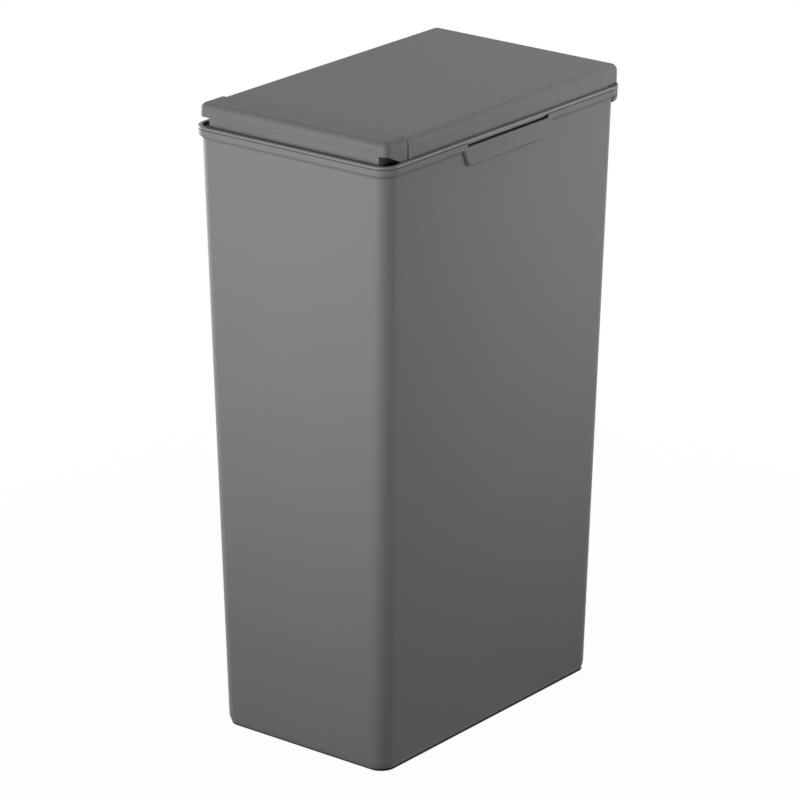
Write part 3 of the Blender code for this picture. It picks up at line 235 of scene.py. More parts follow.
def box(name, across, depths, heights):
    """A plain box between two values on each axis, in millimetres."""
    bpy.ops.object.select_all(action="DESELECT")
    bpy.ops.mesh.primitive_cube_add(size=1)
    piece = bpy.context.active_object
    piece.name = name
    bpy.ops.object.mode_set(mode="EDIT")
    spans = [pair[1] - pair[0] for pair in (across, depths, heights)]
    bpy.ops.transform.resize(value=[span * MM for span in spans])
    bpy.ops.transform.translate(value=(sum(across) / 2 * MM, deep(sum(depths) / 2),
                                       sum(heights) / 2 * MM))
    close_piece()
    return piece


def rod(name, radius, length, at, axis, sides=40):
    """A rod centred at (x, depth, height) in millimetres, along X, Y or Z."""
    bpy.ops.object.select_all(action="DESELECT")
    turn = {"X": (0, math.pi / 2, 0), "Y": (math.pi / 2, 0, 0), "Z": (0, 0, 0)}[axis]
    bpy.ops.mesh.primitive_cylinder_add(vertices=sides, radius=radius * MM, depth=length * MM,
                                        location=(at[0] * MM, deep(at[1]), at[2] * MM),
                                        rotation=turn)
    piece = bpy.context.active_object
    piece.name = name
    bpy.ops.object.transform_apply(location=True, rotation=True, scale=True)
    return piece


def bake_modifiers(piece):
    """Applies every modifier of a piece, in order."""
    bpy.ops.object.select_all(action="DESELECT")
    bpy.context.view_layer.objects.active = piece
    piece.select_set(True)
    for modifier in list(piece.modifiers):
        bpy.ops.object.modifier_apply(modifier=modifier.name)


def carve(piece, tool, way="DIFFERENCE"):
    """Cuts a tool from a piece, adds it (UNION) or keeps what both share (INTERSECT)."""
    modifier = piece.modifiers.new("carve", "BOOLEAN")
    modifier.operation = way
    modifier.solver = "EXACT"
    modifier.object = tool
    bake_modifiers(piece)
    bpy.data.objects.remove(tool, do_unlink=True)


def soften(piece, width, segments=3, angle=35):
    """Rounds the hard edges of a piece, as a mould does, and shades it smoothly."""
    open_piece(piece)
    bpy.ops.mesh.select_all(action="SELECT")
    bpy.ops.mesh.remove_doubles(threshold=0.000002)
    bpy.ops.mesh.dissolve_limited(angle_limit=math.radians(0.2))
    face_outwards()
    close_piece()
    if width:
        modifier = piece.modifiers.new("edge", "BEVEL")
        modifier.width = width * MM
        modifier.segments = segments
        modifier.limit_method = "ANGLE"
        modifier.angle_limit = math.radians(angle)
        modifier.use_clamp_overlap = True
        modifier.miter_outer = "MITER_ARC"
        bake_modifiers(piece)
    bpy.ops.object.select_all(action="DESELECT")
    bpy.context.view_layer.objects.active = piece
    piece.select_set(True)
    bpy.ops.object.shade_smooth_by_angle(angle=math.radians(32))
    modifier = piece.modifiers.new("flat faces stay flat", "WEIGHTED_NORMAL")
    modifier.mode = "FACE_AREA"
    modifier.weight = 100
    modifier.keep_sharp = True
    bake_modifiers(piece)


print("shapes ready")

# %% [markdown]
# ## Colours and nodes
# Colours are written as screen hex values and turned to the linear numbers that a shader reads.
# One small function adds a node, sets its inputs and links the ones that come from other nodes.

# %% Helpers for materials
def screen(code):
    """A screen colour such as 808080 as linear red, green, blue and alpha."""
    parts = [int(code[index:index + 2], 16) / 255 for index in (0, 2, 4)]
    linear = [part / 12.92 if part < 0.04045 else ((part + 0.055) / 1.055) ** 2.4 for part in parts]
    return (*linear, 1.0)


def add_node(tree, kind, inputs=None, **settings):
    """Adds a node with its settings, and sets or links its inputs by name or number."""
    made = tree.nodes.new(kind)
    for name, value in settings.items():
        setattr(made, name, value)
    for name, value in (inputs or {}).items():
        if isinstance(value, bpy.types.NodeSocket):
            tree.links.new(value, made.inputs[name])
        else:
            made.inputs[name].default_value = value
    return made


def blank_material(name):
    """A material with its Principled shader, ready for patterns."""
    made = bpy.data.materials.new(name)
    made.use_nodes = True
    return made, made.node_tree, made.node_tree.nodes["Principled BSDF"]


print("a mid grey is", [round(value, 3) for value in screen("808080")[:3]])

# %% [markdown]
# ## Satin polypropylene
# The bin is injection-moulded polypropylene. Its mould was spark-eroded, which leaves a fine
# satin texture of dimples: the eye sees a matt grey with a broad, weak sheen and no sharp
# reflection. Three patterns give that. Very faint clouds a hand wide are uneven pigment, a mottle
# of a few millimetres varies the sheen, and dimples are a bump. Real dimples are 0.1 mm wide, too
# fine to show at this size, so they are drawn 0.9 mm wide and very low.

# %% Satin polypropylene
def satin_polypropylene(name, code, roughness, gloss=0.35):
    """Moulded polypropylene in one grey, with pigment clouds, mottled sheen and a satin grain."""
    made, tree, shader = blank_material(name)
    place_node = add_node(tree, "ShaderNodeTexCoord")
    at = place_node.outputs["Object"]
    clouds = add_node(tree, "ShaderNodeTexNoise", {"Vector": at, "Scale": 1 / 0.09, "Detail": 2.0})
    grey = screen(code)
    darker = tuple(value * 0.965 for value in grey[:3]) + (1.0,)
    lighter = tuple(value * 1.035 for value in grey[:3]) + (1.0,)
    tint = add_node(tree, "ShaderNodeMix", {0: clouds.outputs["Fac"], 6: darker, 7: lighter},
                    data_type="RGBA")
    mottle = add_node(tree, "ShaderNodeTexNoise", {"Vector": at, "Scale": 1 / 0.004, "Detail": 3.0})
    sheen = add_node(tree, "ShaderNodeMapRange", {"Value": mottle.outputs["Fac"], "From Min": 0.3,
                                                  "From Max": 0.7, "To Min": roughness - 0.03,
                                                  "To Max": roughness + 0.03})
    grain = add_node(tree, "ShaderNodeTexNoise", {"Vector": at, "Scale": 1 / 0.0009, "Detail": 1.5})
    bump = add_node(tree, "ShaderNodeBump", {"Height": grain.outputs["Fac"], "Strength": 0.10,
                                             "Distance": 0.00012})
    tree.links.new(tint.outputs[2], shader.inputs["Base Color"])
    tree.links.new(sheen.outputs["Result"], shader.inputs["Roughness"])
    tree.links.new(bump.outputs["Normal"], shader.inputs["Normal"])
    shader.inputs["IOR"].default_value = 1.49
    shader.inputs["Specular IOR Level"].default_value = gloss
    return made


bucket_plastic = satin_polypropylene("polypropylene_bucket", "7a7a7b", 0.52)
rim_plastic = satin_polypropylene("polypropylene_rim", "7a7a7b", 0.36, 0.5)
# Lid, bar and liner are the bucket's grey darkened as painted shade, for how light falls.
lid_plastic_painted_shade = satin_polypropylene("polypropylene_lid_painted_shade", "757576", 0.50)
bar_plastic_painted_shade = satin_polypropylene("polypropylene_bar_painted_shade", "6d6d6e", 0.50)
liner_plastic_painted_shade = satin_polypropylene("polypropylene_liner_painted_shade", "717172", 0.50)
print("greys", [material.name for material in (bucket_plastic, rim_plastic, lid_plastic_painted_shade)])

# %% [markdown]
# ## Acetal, rubber and steel
# The latch hook and its keeper slide on each other, so they are acetal, a dense slippery plastic:
# dark and a little waxy. The feet and buffers are black rubber with a dull, dusty skin. Pins and
# screws are steel with a bright zinc plating, whose fine turning lines cross the light, and
# springs are drawn wire, darker and with lines along the wire.

# %% Acetal, rubber and steel
def dark_acetal():
    """Smooth dark acetal with a waxy sheen and faint flow marks."""
    made, tree, shader = blank_material("acetal_dark")
    at = add_node(tree, "ShaderNodeTexCoord").outputs["Object"]
    flow = add_node(tree, "ShaderNodeTexNoise", {"Vector": at, "Scale": 1 / 0.006, "Detail": 2.0,
                                                 "Distortion": 1.2})
    tint = add_node(tree, "ShaderNodeMix", {0: flow.outputs["Fac"], 6: screen("2c2c2e"),
                                            7: screen("38383a")}, data_type="RGBA")
    sheen = add_node(tree, "ShaderNodeMapRange", {"Value": flow.outputs["Fac"], "To Min": 0.28,
                                                  "To Max": 0.40})
    tree.links.new(tint.outputs[2], shader.inputs["Base Color"])
    tree.links.new(sheen.outputs["Result"], shader.inputs["Roughness"])
    shader.inputs["IOR"].default_value = 1.48
    return made


def black_rubber():
    """Moulded rubber with a dull skin, lighter where dust sits in its pores."""
    made, tree, shader = blank_material("rubber_black")
    at = add_node(tree, "ShaderNodeTexCoord").outputs["Object"]
    pores = add_node(tree, "ShaderNodeTexNoise", {"Vector": at, "Scale": 1 / 0.0012, "Detail": 3.0})
    dust = add_node(tree, "ShaderNodeTexNoise", {"Vector": at, "Scale": 1 / 0.012, "Detail": 2.0})
    tint = add_node(tree, "ShaderNodeMix", {0: dust.outputs["Fac"], 6: screen("1a1a1b"),
                                            7: screen("2a2a2a")}, data_type="RGBA")
    sheen = add_node(tree, "ShaderNodeMapRange", {"Value": dust.outputs["Fac"], "To Min": 0.62,
                                                  "To Max": 0.82})
    bump = add_node(tree, "ShaderNodeBump", {"Height": pores.outputs["Fac"], "Strength": 0.3,
                                             "Distance": 0.0002})
    tree.links.new(tint.outputs[2], shader.inputs["Base Color"])
    tree.links.new(sheen.outputs["Result"], shader.inputs["Roughness"])
    tree.links.new(bump.outputs["Normal"], shader.inputs["Normal"])
    shader.inputs["IOR"].default_value = 1.52
    return made


def plated_steel(name, dark, light, low, high, scale):
    """Steel whose fine lines, stretched along one axis, break up its shine."""
    made, tree, shader = blank_material(name)
    at = add_node(tree, "ShaderNodeTexCoord").outputs["Object"]
    spread = add_node(tree, "ShaderNodeMapping", {"Vector": at, "Scale": scale})
    lines = add_node(tree, "ShaderNodeTexNoise", {"Vector": spread.outputs["Vector"], "Scale": 1.0,
                                                  "Detail": 2.0})
    tint = add_node(tree, "ShaderNodeMix", {0: lines.outputs["Fac"], 6: screen(dark),
                                            7: screen(light)}, data_type="RGBA")
    sheen = add_node(tree, "ShaderNodeMapRange", {"Value": lines.outputs["Fac"], "To Min": low,
                                                  "To Max": high})
    bump = add_node(tree, "ShaderNodeBump", {"Height": lines.outputs["Fac"], "Strength": 0.12,
                                             "Distance": 0.00005})
    tree.links.new(tint.outputs[2], shader.inputs["Base Color"])
    tree.links.new(sheen.outputs["Result"], shader.inputs["Roughness"])
    tree.links.new(bump.outputs["Normal"], shader.inputs["Normal"])
    shader.inputs["Metallic"].default_value = 1.0
    return made


acetal = dark_acetal()
rubber = black_rubber()
zinc_steel = plated_steel("zinc_plated_steel", "b4b4b8", "d2d2d6", 0.24, 0.38, (2500, 900, 900))
spring_wire = plated_steel("drawn_spring_wire", "8e8e92", "b0b0b4", 0.30, 0.46, (1800, 1800, 400))
print("hard materials", acetal.name, rubber.name, zinc_steel.name, spring_wire.name)

# %% [markdown]
# ## Dressing a piece
# A finished piece gets its material, rides on the body that carries it, and takes the place of the
# imported solid it stands for, which stays hidden and goes on working for collisions. A spring is
# held at both ends by bodies that move apart, so it is left where it lies and rides on neither.

# %% Helper for finished pieces
def dress(piece, body, node, material, ends=None):
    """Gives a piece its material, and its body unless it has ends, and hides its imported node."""
    piece.name = f"{node}_form"
    piece.data.name = piece.name
    piece.data.materials.clear()
    piece.data.materials.append(material)
    for face in piece.data.polygons:
        face.material_index = 0
    if ends:
        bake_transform(piece)
    else:
        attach(piece, body)
    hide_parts(node)
    size = [round(side / MM, 1) for side in piece.dimensions]
    print(piece.name, "faces", len(piece.data.polygons), "size in mm", size)


# %% [markdown]
# ## The bucket's outside
# The bucket tapers, so that bins stack and the part leaves its mould, and it flares out just
# under the rim into an upright collar that the frame sits on. It is drawn up from a plate level
# by level: each extrusion keeps the round corners, the halves of the new outline move outwards to
# follow the taper, and at the collar each corner is scaled from its own tip to a larger radius.
# At the foot the wall turns under in a quarter of an ellipse, nearly three times as tall as it is
# deep, and ends a little above the floor, because the bucket stands on four feet. That leaves a
# thin gap under it, dark in its shadow and over the floor's painted contact shadow.

# %% Draw the bucket's outside
RIM = 600.5
BASE_HALF = 99.0
BASE_NEAR = 17.2
BASE_FAR = 347.5
TOP_HALF = 112.2
TOP_NEAR = 3.0
TOP_FAR = 359.4
WALL = 2.2
MIDDLE = 181.0
FLARE_FOOT = 587.8
FLARE_TALL = 4.5
STEP_OUT = 3.0
COLLAR_ROUND = ((596.9, 0.0), (597.3, 0.25), (597.5, 0.8))
FOOT_GAP = 1.4
FOOT_TALL = 8.4
FOOT_DEEP = 3.1
WALL_CORNER = 16.7
RIM_CORNER = 18.0


def bucket_level(height, out, wall=0):
    """Height, half width, front and back depth and corner radius of the wall, moved out or in."""
    share = height / RIM
    shift = out - wall
    corner = WALL_CORNER + (RIM_CORNER - WALL_CORNER) * out / STEP_OUT - wall
    return (height, BASE_HALF + (TOP_HALF - BASE_HALF) * share + shift,
            BASE_NEAR + (TOP_NEAR - BASE_NEAR) * share - shift,
            BASE_FAR + (TOP_FAR - BASE_FAR) * share + shift, corner)


def draw_up(name, levels):
    """A plate at the first level, extruded from level to level and spread to each outline."""
    height, half, near, far, corner = levels[0]
    piece = plate(name, half, near, far, height, corner)
    middle = deep(MIDDLE)
    for now, after in zip(levels, levels[1:]):
        rise, wider, nearer, farther = [(after[index] - now[index]) * MM for index in range(4)]
        bpy.ops.mesh.extrude_region_move(TRANSFORM_OT_translate={"value": (0, 0, rise)})
        top = after[0] * MM
        move_points(lambda at: abs(at.z - top) < 1e-6 and at.x > 0, (wider, 0, 0))
        move_points(lambda at: abs(at.z - top) < 1e-6 and at.x < 0, (-wider, 0, 0))
        move_points(lambda at: abs(at.z - top) < 1e-6 and at.y < middle, (0, nearer, 0))
        move_points(lambda at: abs(at.z - top) < 1e-6 and at.y > middle, (0, farther, 0))
        grow = after[4] / now[4]
        for side in (-1, 1):
            for depth, rear in ((after[2], False), (after[3], True)):
                if abs(grow - 1) > 1e-6:
                    pick("VERT", lambda at, vert: abs(at.z - top) < 1e-6 and at.x * side > 0
                         and (at.y > middle) == rear)
                    tip = (side * after[1] * MM, deep(depth), top)
                    bpy.ops.transform.resize(value=(grow, grow, 1), center_override=tip)
        pick("FACE", lambda at, face: abs(at.z - top) < 1e-6)
    return piece


def flare(foot, wall):
    """Levels of the smooth step out to the collar."""
    shares = [step / 8 for step in range(9)]
    return [bucket_level(foot + FLARE_TALL * share, STEP_OUT * (3 - 2 * share) * share ** 2,
                         wall) for share in shares]


def foot_round():
    """Levels of the wall's last round above the floor, taller than it is deep."""
    angles = [math.pi / 2 * step / 9 for step in range(9, -1, -1)]
    return [bucket_level(FOOT_GAP + FOOT_TALL * (1 - math.sin(angle)),
                         -FOOT_DEEP * (1 - math.cos(angle))) for angle in angles]


outer_levels = [*foot_round(), *flare(FLARE_FOOT, 0)]
outer_levels += [bucket_level(height, STEP_OUT - inset) for height, inset in COLLAR_ROUND]
bucket = draw_up("bucket", outer_levels)
face_outwards()
close_piece()
print("bucket outside", len(bucket.data.polygons), "faces")

# %% [markdown]
# ## Side tabs and the hollow
# Below the collar each long side has a raised panel, like a broad tab that hangs from the collar.
# Its lower corners and its rim are rounded, and it runs out in a crease on the wall. It is a box
# whose foot is narrowed, bevelled at its two lower corners and then round its rim, and added to
# the bucket. The same box one wall smaller is added to the hollow, because a moulded wall keeps
# its thickness.

# %% Add the tabs and hollow the bucket
TAB_MIDDLE = 181.1
TAB_HALF = 69.45
TAB_LOW = 574.0
TAB_HIGH = 595.0
TAB_PROUD = 2.97
TAB_TAPER = 10.2
TAB_CORNER = 4.5
TAB_RIM = 2.6
TAB_ROOT = 1.1


def tab_form(side, shrink):
    """The raised panel on one long side, or its hollow."""
    low = TAB_LOW + shrink
    half = TAB_HALF - shrink
    proud = TAB_PROUD - shrink
    inner = bucket_level(low, 0)[1] - TAB_ROOT - shrink
    face_high = bucket_level(TAB_HIGH, 0)[1] + proud
    face_low = bucket_level(low, 0)[1] + proud
    tab = box("tab", sorted((side * inner, side * face_high)),
              (TAB_MIDDLE - half, TAB_MIDDLE + half), (low, TAB_HIGH))
    open_piece(tab)
    floor = (low + 1) * MM
    centre = deep(TAB_MIDDLE)
    outside = (inner + 0.5) * MM
    move_points(lambda at: at.z < floor and at.y < centre, (0, TAB_TAPER * MM, 0))
    move_points(lambda at: at.z < floor and at.y > centre, (0, -TAB_TAPER * MM, 0))
    move_points(lambda at: at.z < floor and abs(at.x) > outside,
                (side * (face_low - face_high) * MM, 0, 0))
    round_edges(lambda at, edge: at.z < floor and along(edge, 0), TAB_CORNER, 8)
    round_edges(lambda at, edge: all(abs(vert.co.x) > outside for vert in edge.verts)
                and at.z < (TAB_HIGH - 0.2) * MM, TAB_RIM - shrink / 2, 6)
    face_outwards()
    close_piece()
    return tab


BASE_TOP = 4.6
BASE_BEND = 1.9
BOSS_RADIUS = 11.2
PAST_RIM = 601.5
hollow = draw_up("hollow", [bucket_level(BASE_TOP, 0, WALL), *flare(FLARE_FOOT + WALL, WALL),
                            bucket_level(PAST_RIM, STEP_OUT, WALL)])
round_edges(lambda at, edge: abs(at.z - BASE_TOP * MM) < 1e-6, BASE_BEND, 5)
face_outwards()
close_piece()

PAD_PLACES = {"front_left": (-77.0, 39.2), "front_right": (77.0, 39.2),
              "rear_left": (-77.0, 325.5), "rear_right": (77.0, 325.5)}
for x, depth in PAD_PLACES.values():
    carve(hollow, rod("pad_boss", BOSS_RADIUS, 2 * WALL, (x, depth, BASE_TOP), "Z", 64))
for side in (-1, 1):
    carve(hollow, tab_form(side, WALL), "UNION")
    carve(bucket, tab_form(side, 0), "UNION")
carve(bucket, hollow)
print("bucket hollowed", len(bucket.data.polygons), "faces")

# %% [markdown]
# ## The bucket's details
# Above each tab a low slot is left open under the frame's bead, where the frame is lifted off. It
# looks black, because the space behind it is closed. Under the base, four round pockets take the
# rubber feet, and the middle is raised a little so that only the feet touch the floor. All hard
# edges then get the small round that a mould gives them, because a plastic edge catches light.

# %% Finish the bucket
SLOT_HALF = 62.0
SLOT_FOOT = 593.6
SLOT_ACROSS = (105.9, 119.2)
SLOT_CORNER = 1.4
POCKET_RADIUS = 9.3
POCKET_TOP = 3.4
BASE_RECESS = (73.0, 65.2, 299.5, -4.0, 2.3, 10.0)
for side in (-1, 1):
    slot = box("slot", sorted(side * reach for reach in SLOT_ACROSS),
               (TAB_MIDDLE - SLOT_HALF, TAB_MIDDLE + SLOT_HALF), (SLOT_FOOT, PAST_RIM))
    open_piece(slot)
    round_edges(lambda at, edge: at.z < (SLOT_FOOT + 1) * MM and along(edge, 0), SLOT_CORNER, 5)
    close_piece()
    carve(bucket, slot)
for x, depth in PAD_PLACES.values():
    carve(bucket, rod("pad_pocket", POCKET_RADIUS, 2 * POCKET_TOP, (x, depth, 0), "Z", 64))
carve(bucket, slab("base_recess", *BASE_RECESS))
soften(bucket, 0.35)
dress(bucket, "bin", "bin_body", bucket_plastic)

# %% [markdown]
# ## Rubber feet
# A foot is a short disc with rounded rims. It is turned once, by spinning half of its section
# about its own axis, and copied to the four pockets, each copy with its own mesh.

# %% Turn one foot and copy it
def turn_profile(name, profile, steps=48):
    """Spins a section, (radius, height) in millimetres, into a closed round piece at the origin."""
    bpy.ops.object.select_all(action="DESELECT")
    bpy.ops.mesh.primitive_plane_add(size=1)
    piece = bpy.context.active_object
    piece.name = name
    bpy.ops.object.mode_set(mode="EDIT")
    bpy.ops.mesh.delete(type="VERT")
    mesh = bmesh.from_edit_mesh(piece.data)
    chain = [mesh.verts.new((radius * MM, 0, height * MM)) for radius, height in profile]
    for near, far in zip(chain, chain[1:]):
        mesh.edges.new((near, far))
    bmesh.update_edit_mesh(piece.data)
    bpy.ops.mesh.select_all(action="SELECT")
    bpy.ops.mesh.spin(steps=steps, angle=2 * math.pi, center=(0, 0, 0), axis=(0, 0, 1))
    bpy.ops.mesh.select_all(action="SELECT")
    bpy.ops.mesh.remove_doubles(threshold=0.000002)
    face_outwards()
    close_piece()
    return piece


def rounded_end(radius, height, fillet, up):
    """Section points of a filleted end, from the axis outwards if it is an upper end."""
    points = [(0, height)]
    for step in range(6):
        angle = math.pi / 2 * step / 5
        drop = fillet * (1 - math.cos(angle))
        points.append((radius - fillet + fillet * math.sin(angle),
                       height - drop if up else height + drop))
    return points if up else points[::-1]


def placed_copy(pattern, at, turn=None):
    """A copy of a piece with its own mesh, turned and moved to (x, depth, height)."""
    made = pattern.copy()
    made.data = pattern.data.copy()
    bpy.context.scene.collection.objects.link(made)
    where = Matrix.Translation((at[0] * MM, deep(at[1]), at[2] * MM))
    made.data.transform(where @ (turn or Matrix.Identity(4)))
    return made


PAD_RADIUS = 9.0
PAD_TALL = 3.1
foot = turn_profile("foot", rounded_end(PAD_RADIUS, PAD_TALL, 0.4, True) + [(PAD_RADIUS, 1.6)]
                    + rounded_end(PAD_RADIUS, 0.0, 0.4, False))
soften(foot, 0)
for place_name, (x, depth) in PAD_PLACES.items():
    dress(placed_copy(foot, (x, depth, 0)), "bin", f"base_pad_{place_name}", rubber)
bpy.data.objects.remove(foot, do_unlink=True)

# %% [markdown]
# ## The frame's bead, deck and skirt
# The frame is the lift-off ring on the bucket's collar. Seen from outside it is one rounded bead
# that runs level with the collar under it, with a thin shadow line between the two. Inside the
# bead a deck lies a little lower, and a skirt hangs into the bucket to centre the frame. The bead
# is a slab whose upper edge is bevelled, and slabs with smaller outlines are added below it and
# cut from its middle.

# %% Draw the ring
BEAD_FOOT = 597.8
DECK = 597.2
OPEN_TOP = 606.0
RING_STEPS = (
    ("seat", "UNION", 2.5, 359.9, 595.6, 598.4, 15.5),
    ("skirt", "UNION", 6.7, 348.8, 574.0, 596.4, 15.8),
    ("deck", "DIFFERENCE", 4.0, 358.3, DECK, OPEN_TOP, 14.0),
    ("mouth", "DIFFERENCE", 8.5, 347.0, 560.0, OPEN_TOP, 14.0),
)
ring = slab("ring", rim_half, 0, 366.5, BEAD_FOOT, RIM, 18.0, 16)
open_piece(ring)
round_edges(lambda at, edge: abs(at.z - RIM * MM) < 1e-6, 1.1, 5)
round_edges(lambda at, edge: abs(at.z - BEAD_FOOT * MM) < 1e-6, 0.7, 3)
close_piece()
for step_name, way, inset, far, low, high, corner in RING_STEPS:
    carve(ring, slab(step_name, rim_half - inset, inset, far, low, high, corner, 16), way)
carve(ring, slab("trough", 111.1, 339.9, 363.3, 598.6, OPEN_TOP, 7.1, 12))
print("ring", len(ring.data.polygons), "faces")

# %% [markdown]
# ## The apron at the back
# At the back the frame carries a curved apron that hides the gap behind the bucket and stiffens
# the hinge. It is a strip of a larger ring: an outer slab less an inner slab, of which only the
# part within a box with rounded lower corners is kept.

# %% Add the apron, lugs and lands
apron = slab("apron", rim_half - 0.15, 330, 366.35, 579.0, 599.2, 17.85, 16)
carve(apron, slab("apron_hollow", rim_half - 2.45, 320, 364.05, 570.0, 610.0, 15.55, 16))
keep = box("apron_part", (5.8 - rim_half, rim_half - 5.8), (355, 371), (578.6, 604))
open_piece(keep)
round_edges(lambda at, edge: at.z < 0.579 and along(edge, 1), 13.0, 12)
close_piece()
carve(apron, keep, "INTERSECT")
carve(ring, apron, "UNION")

HINGE = (354.2, 611.8)
LUG = 80.0
LUG_ROUND = 4.8
LUG_HALF = 6
PIN_BORE = 2.3
for side in (-1, 1):
    x = side * LUG
    lug = box("lug", (x - LUG_HALF, x + LUG_HALF), (HINGE[0] - LUG_ROUND, HINGE[0] + LUG_ROUND),
              (598.0, HINGE[1]))
    carve(lug, rod("lug_head", LUG_ROUND, 2 * LUG_HALF, (x, *HINGE), "X", 48), "UNION")
    carve(ring, lug, "UNION")
    land = sorted((side * (rim_half - 12.9), side * (rim_half - 8.0)))
    carve(ring, box("land", land, (TAB_MIDDLE - TAB_HALF, TAB_MIDDLE + TAB_HALF),
                    (595.65, 597.15)), "UNION")
    carve(ring, rod("lug_bore", PIN_BORE, 16, (x, *HINGE), "X", 32))
    carve(ring, rod("keeper_hole", 1.7, 8, (side * 10.9, 8.5, 586.75), "Y", 24))
soften(ring, 0.25, 2)
dress(ring, "frame", "lid_frame", rim_plastic)

# %% [markdown]
# ## The lid's cover
# The cover is a shallow shell, open below, with a broad round along its sides and back. Its front
# edge is cut square for the bar. A box gets its upright corners bevelled, then its top edge, and
# the same shape one wall smaller is cut from it, which keeps the wall even round every bend.

# %% Draw the lid's cover
COVER = (37.5, 362.8)
LID_HALF = 110.5
LID_FOOT = 600.0
LID_TOP = 619.8
CEILING = 617.6
BELOW_LID = 596.0
POST_RADIUS = 3.6
PILOT_RADIUS = 1.7
DOOR_HALF = 99.7
DOOR_TOP = 613.3
RISE_START = 338.6
RISE_FULL = 349.4
REAR_RISE = 2.0


def moulded_shell(name, half, near, far, low, top, corner, fillet, front):
    """A box with round corners and a round top edge at its front or its back."""
    shell = box(name, (-half, half), (near, far), (low, top))
    open_piece(shell)
    turned = deep(near) + 1e-5 if front else deep(far) - 1e-5
    round_edges(lambda at, edge: along(edge, 2)
                and (at.y < turned if front else at.y > turned), corner, 12)
    plain = deep(far) - 1e-5 if front else deep(near) + 1e-5
    round_edges(lambda at, edge: at.z > top * MM - 1e-5
                and (at.y < plain if front else at.y > plain), fillet, 10)
    face_outwards()
    close_piece()
    return shell


cover = moulded_shell("cover", LID_HALF, *COVER, LID_FOOT, LID_TOP, 6.8, 6.4, False)
inside = moulded_shell("cover_inside", LID_HALF - WALL, COVER[0] + WALL, COVER[1] - WALL,
                       BELOW_LID, CEILING, 6.8 - WALL, 6.4 - WALL, False)
LID_SCREWS = [(side * 98.5, depth) for depth in (59.7, 200.15, 331.0) for side in (-1, 1)]
for x, depth in LID_SCREWS:
    carve(inside, rod("post", POST_RADIUS, 17.6, (x, depth, 610.4), "Z", 32))
carve(cover, inside)
carve(cover, box("doorway", (-DOOR_HALF, DOOR_HALF), (33.5, 41.9), (BELOW_LID, DOOR_TOP)))
for x, depth in LID_SCREWS:
    carve(cover, rod("pilot", PILOT_RADIUS, 27, (x, depth, 600.0), "Z", 24))
for side in (-1, 1):
    x = side * LUG
    carve(cover, box("lug_slot", (x - 6.9, x + 6.9), (358.4, 366.8), (BELOW_LID, 617.2)))
wedge = box("rear_rise", (-120, 120), (RISE_START, 367.0), (BELOW_LID, 602.0))
open_piece(wedge)
bpy.ops.mesh.select_all(action="SELECT")
bpy.ops.mesh.bisect(plane_co=(0, deep(RISE_FULL), 0.6), plane_no=(0, 1, 0))
move_points(lambda at: at.z > 0.6 and at.y < deep(340), (0, 0, -REAR_RISE * MM))
close_piece()
carve(cover, wedge)
soften(cover, 0.3, 2)
dress(cover, "lid", "lid_cover", lid_plastic_painted_shade)

# %% [markdown]
# ## The touch bar
# The bar is a crowned shell along the lid's front edge. It stands a little higher than the cover,
# has a larger round, and stops above the panel so that a thin dark gap runs under it. At each end
# it wraps round the corner as an ear whose lower edge slopes down to the frame. Its back edge is
# rounded too, so that the step down to the cover looks soft.

# %% Draw the touch bar
BAR = (5.8, 36.7)
BAR_TOP = 621.6
BAR_LIP = 608.5
SLOPE = (9.5, 27.5)
SLOPE_DROP = 8.6
bar = moulded_shell("bar", LID_HALF, *BAR, LID_FOOT, BAR_TOP, 7.0, 6.5, True)
open_piece(bar)
round_edges(lambda at, edge: at.y > deep(BAR[1]) - 1e-5 and at.z > 0.606, 1.2, 5)
close_piece()
under = box("bar_under", (-120, 120), (1.8, SLOPE[1]), (BELOW_LID, BAR_LIP))
open_piece(under)
bpy.ops.mesh.select_all(action="SELECT")
bpy.ops.mesh.bisect(plane_co=(0, deep(SLOPE[0]), 0.6), plane_no=(0, 1, 0))
move_points(lambda at: at.y > deep(20) and at.z > 0.6, (0, 0, -SLOPE_DROP * MM))
close_piece()
carve(bar, under)
carve(bar, moulded_shell("bar_inside", LID_HALF - WALL, BAR[0] + WALL, BAR[1] - WALL, BELOW_LID,
                         BAR_TOP - WALL, 7.0 - WALL, 6.5 - WALL, True))
carve(bar, box("bar_doorway", (-107.2, 107.2), (32.3, 40.7), (BELOW_LID, 614.5)))
PIVOT = (33.0, 605.2)
PIVOT_ROUND = 3.6
BAR_SPRING = (60.0, 16.0)
BAR_LUG = 101.8
BAR_LUG_SIDES = (100.3, 103.3)
BAR_LUG_WIDE = 3.0
SPIGOT_RADIUS = 2.2
for side in (-1, 1):
    across = sorted(side * reach for reach in BAR_LUG_SIDES)
    lug = box("bar_lug", across, (PIVOT[0] - PIVOT_ROUND, PIVOT[0] + PIVOT_ROUND),
              (PIVOT[1], 620.5))
    carve(lug, rod("bar_lug_head", PIVOT_ROUND, BAR_LUG_WIDE, (side * BAR_LUG, *PIVOT), "X", 40),
          "UNION")
    carve(bar, lug, "UNION")
    carve(bar, rod("bar_bore", PIN_BORE, 6.0, (side * BAR_LUG, *PIVOT), "X", 32))
    carve(bar, rod("bar_spigot", SPIGOT_RADIUS, 3.7,
                   (side * BAR_SPRING[0], BAR_SPRING[1], 618.65), "Z", 32), "UNION")
carve(bar, box("bar_rib", (-1.8, 1.8), (12.3, 14.1), (612.9, 620.5)), "UNION")
soften(bar, 0.6, 3)
dress(bar, "bar", "touch_bar", bar_plastic_painted_shade)
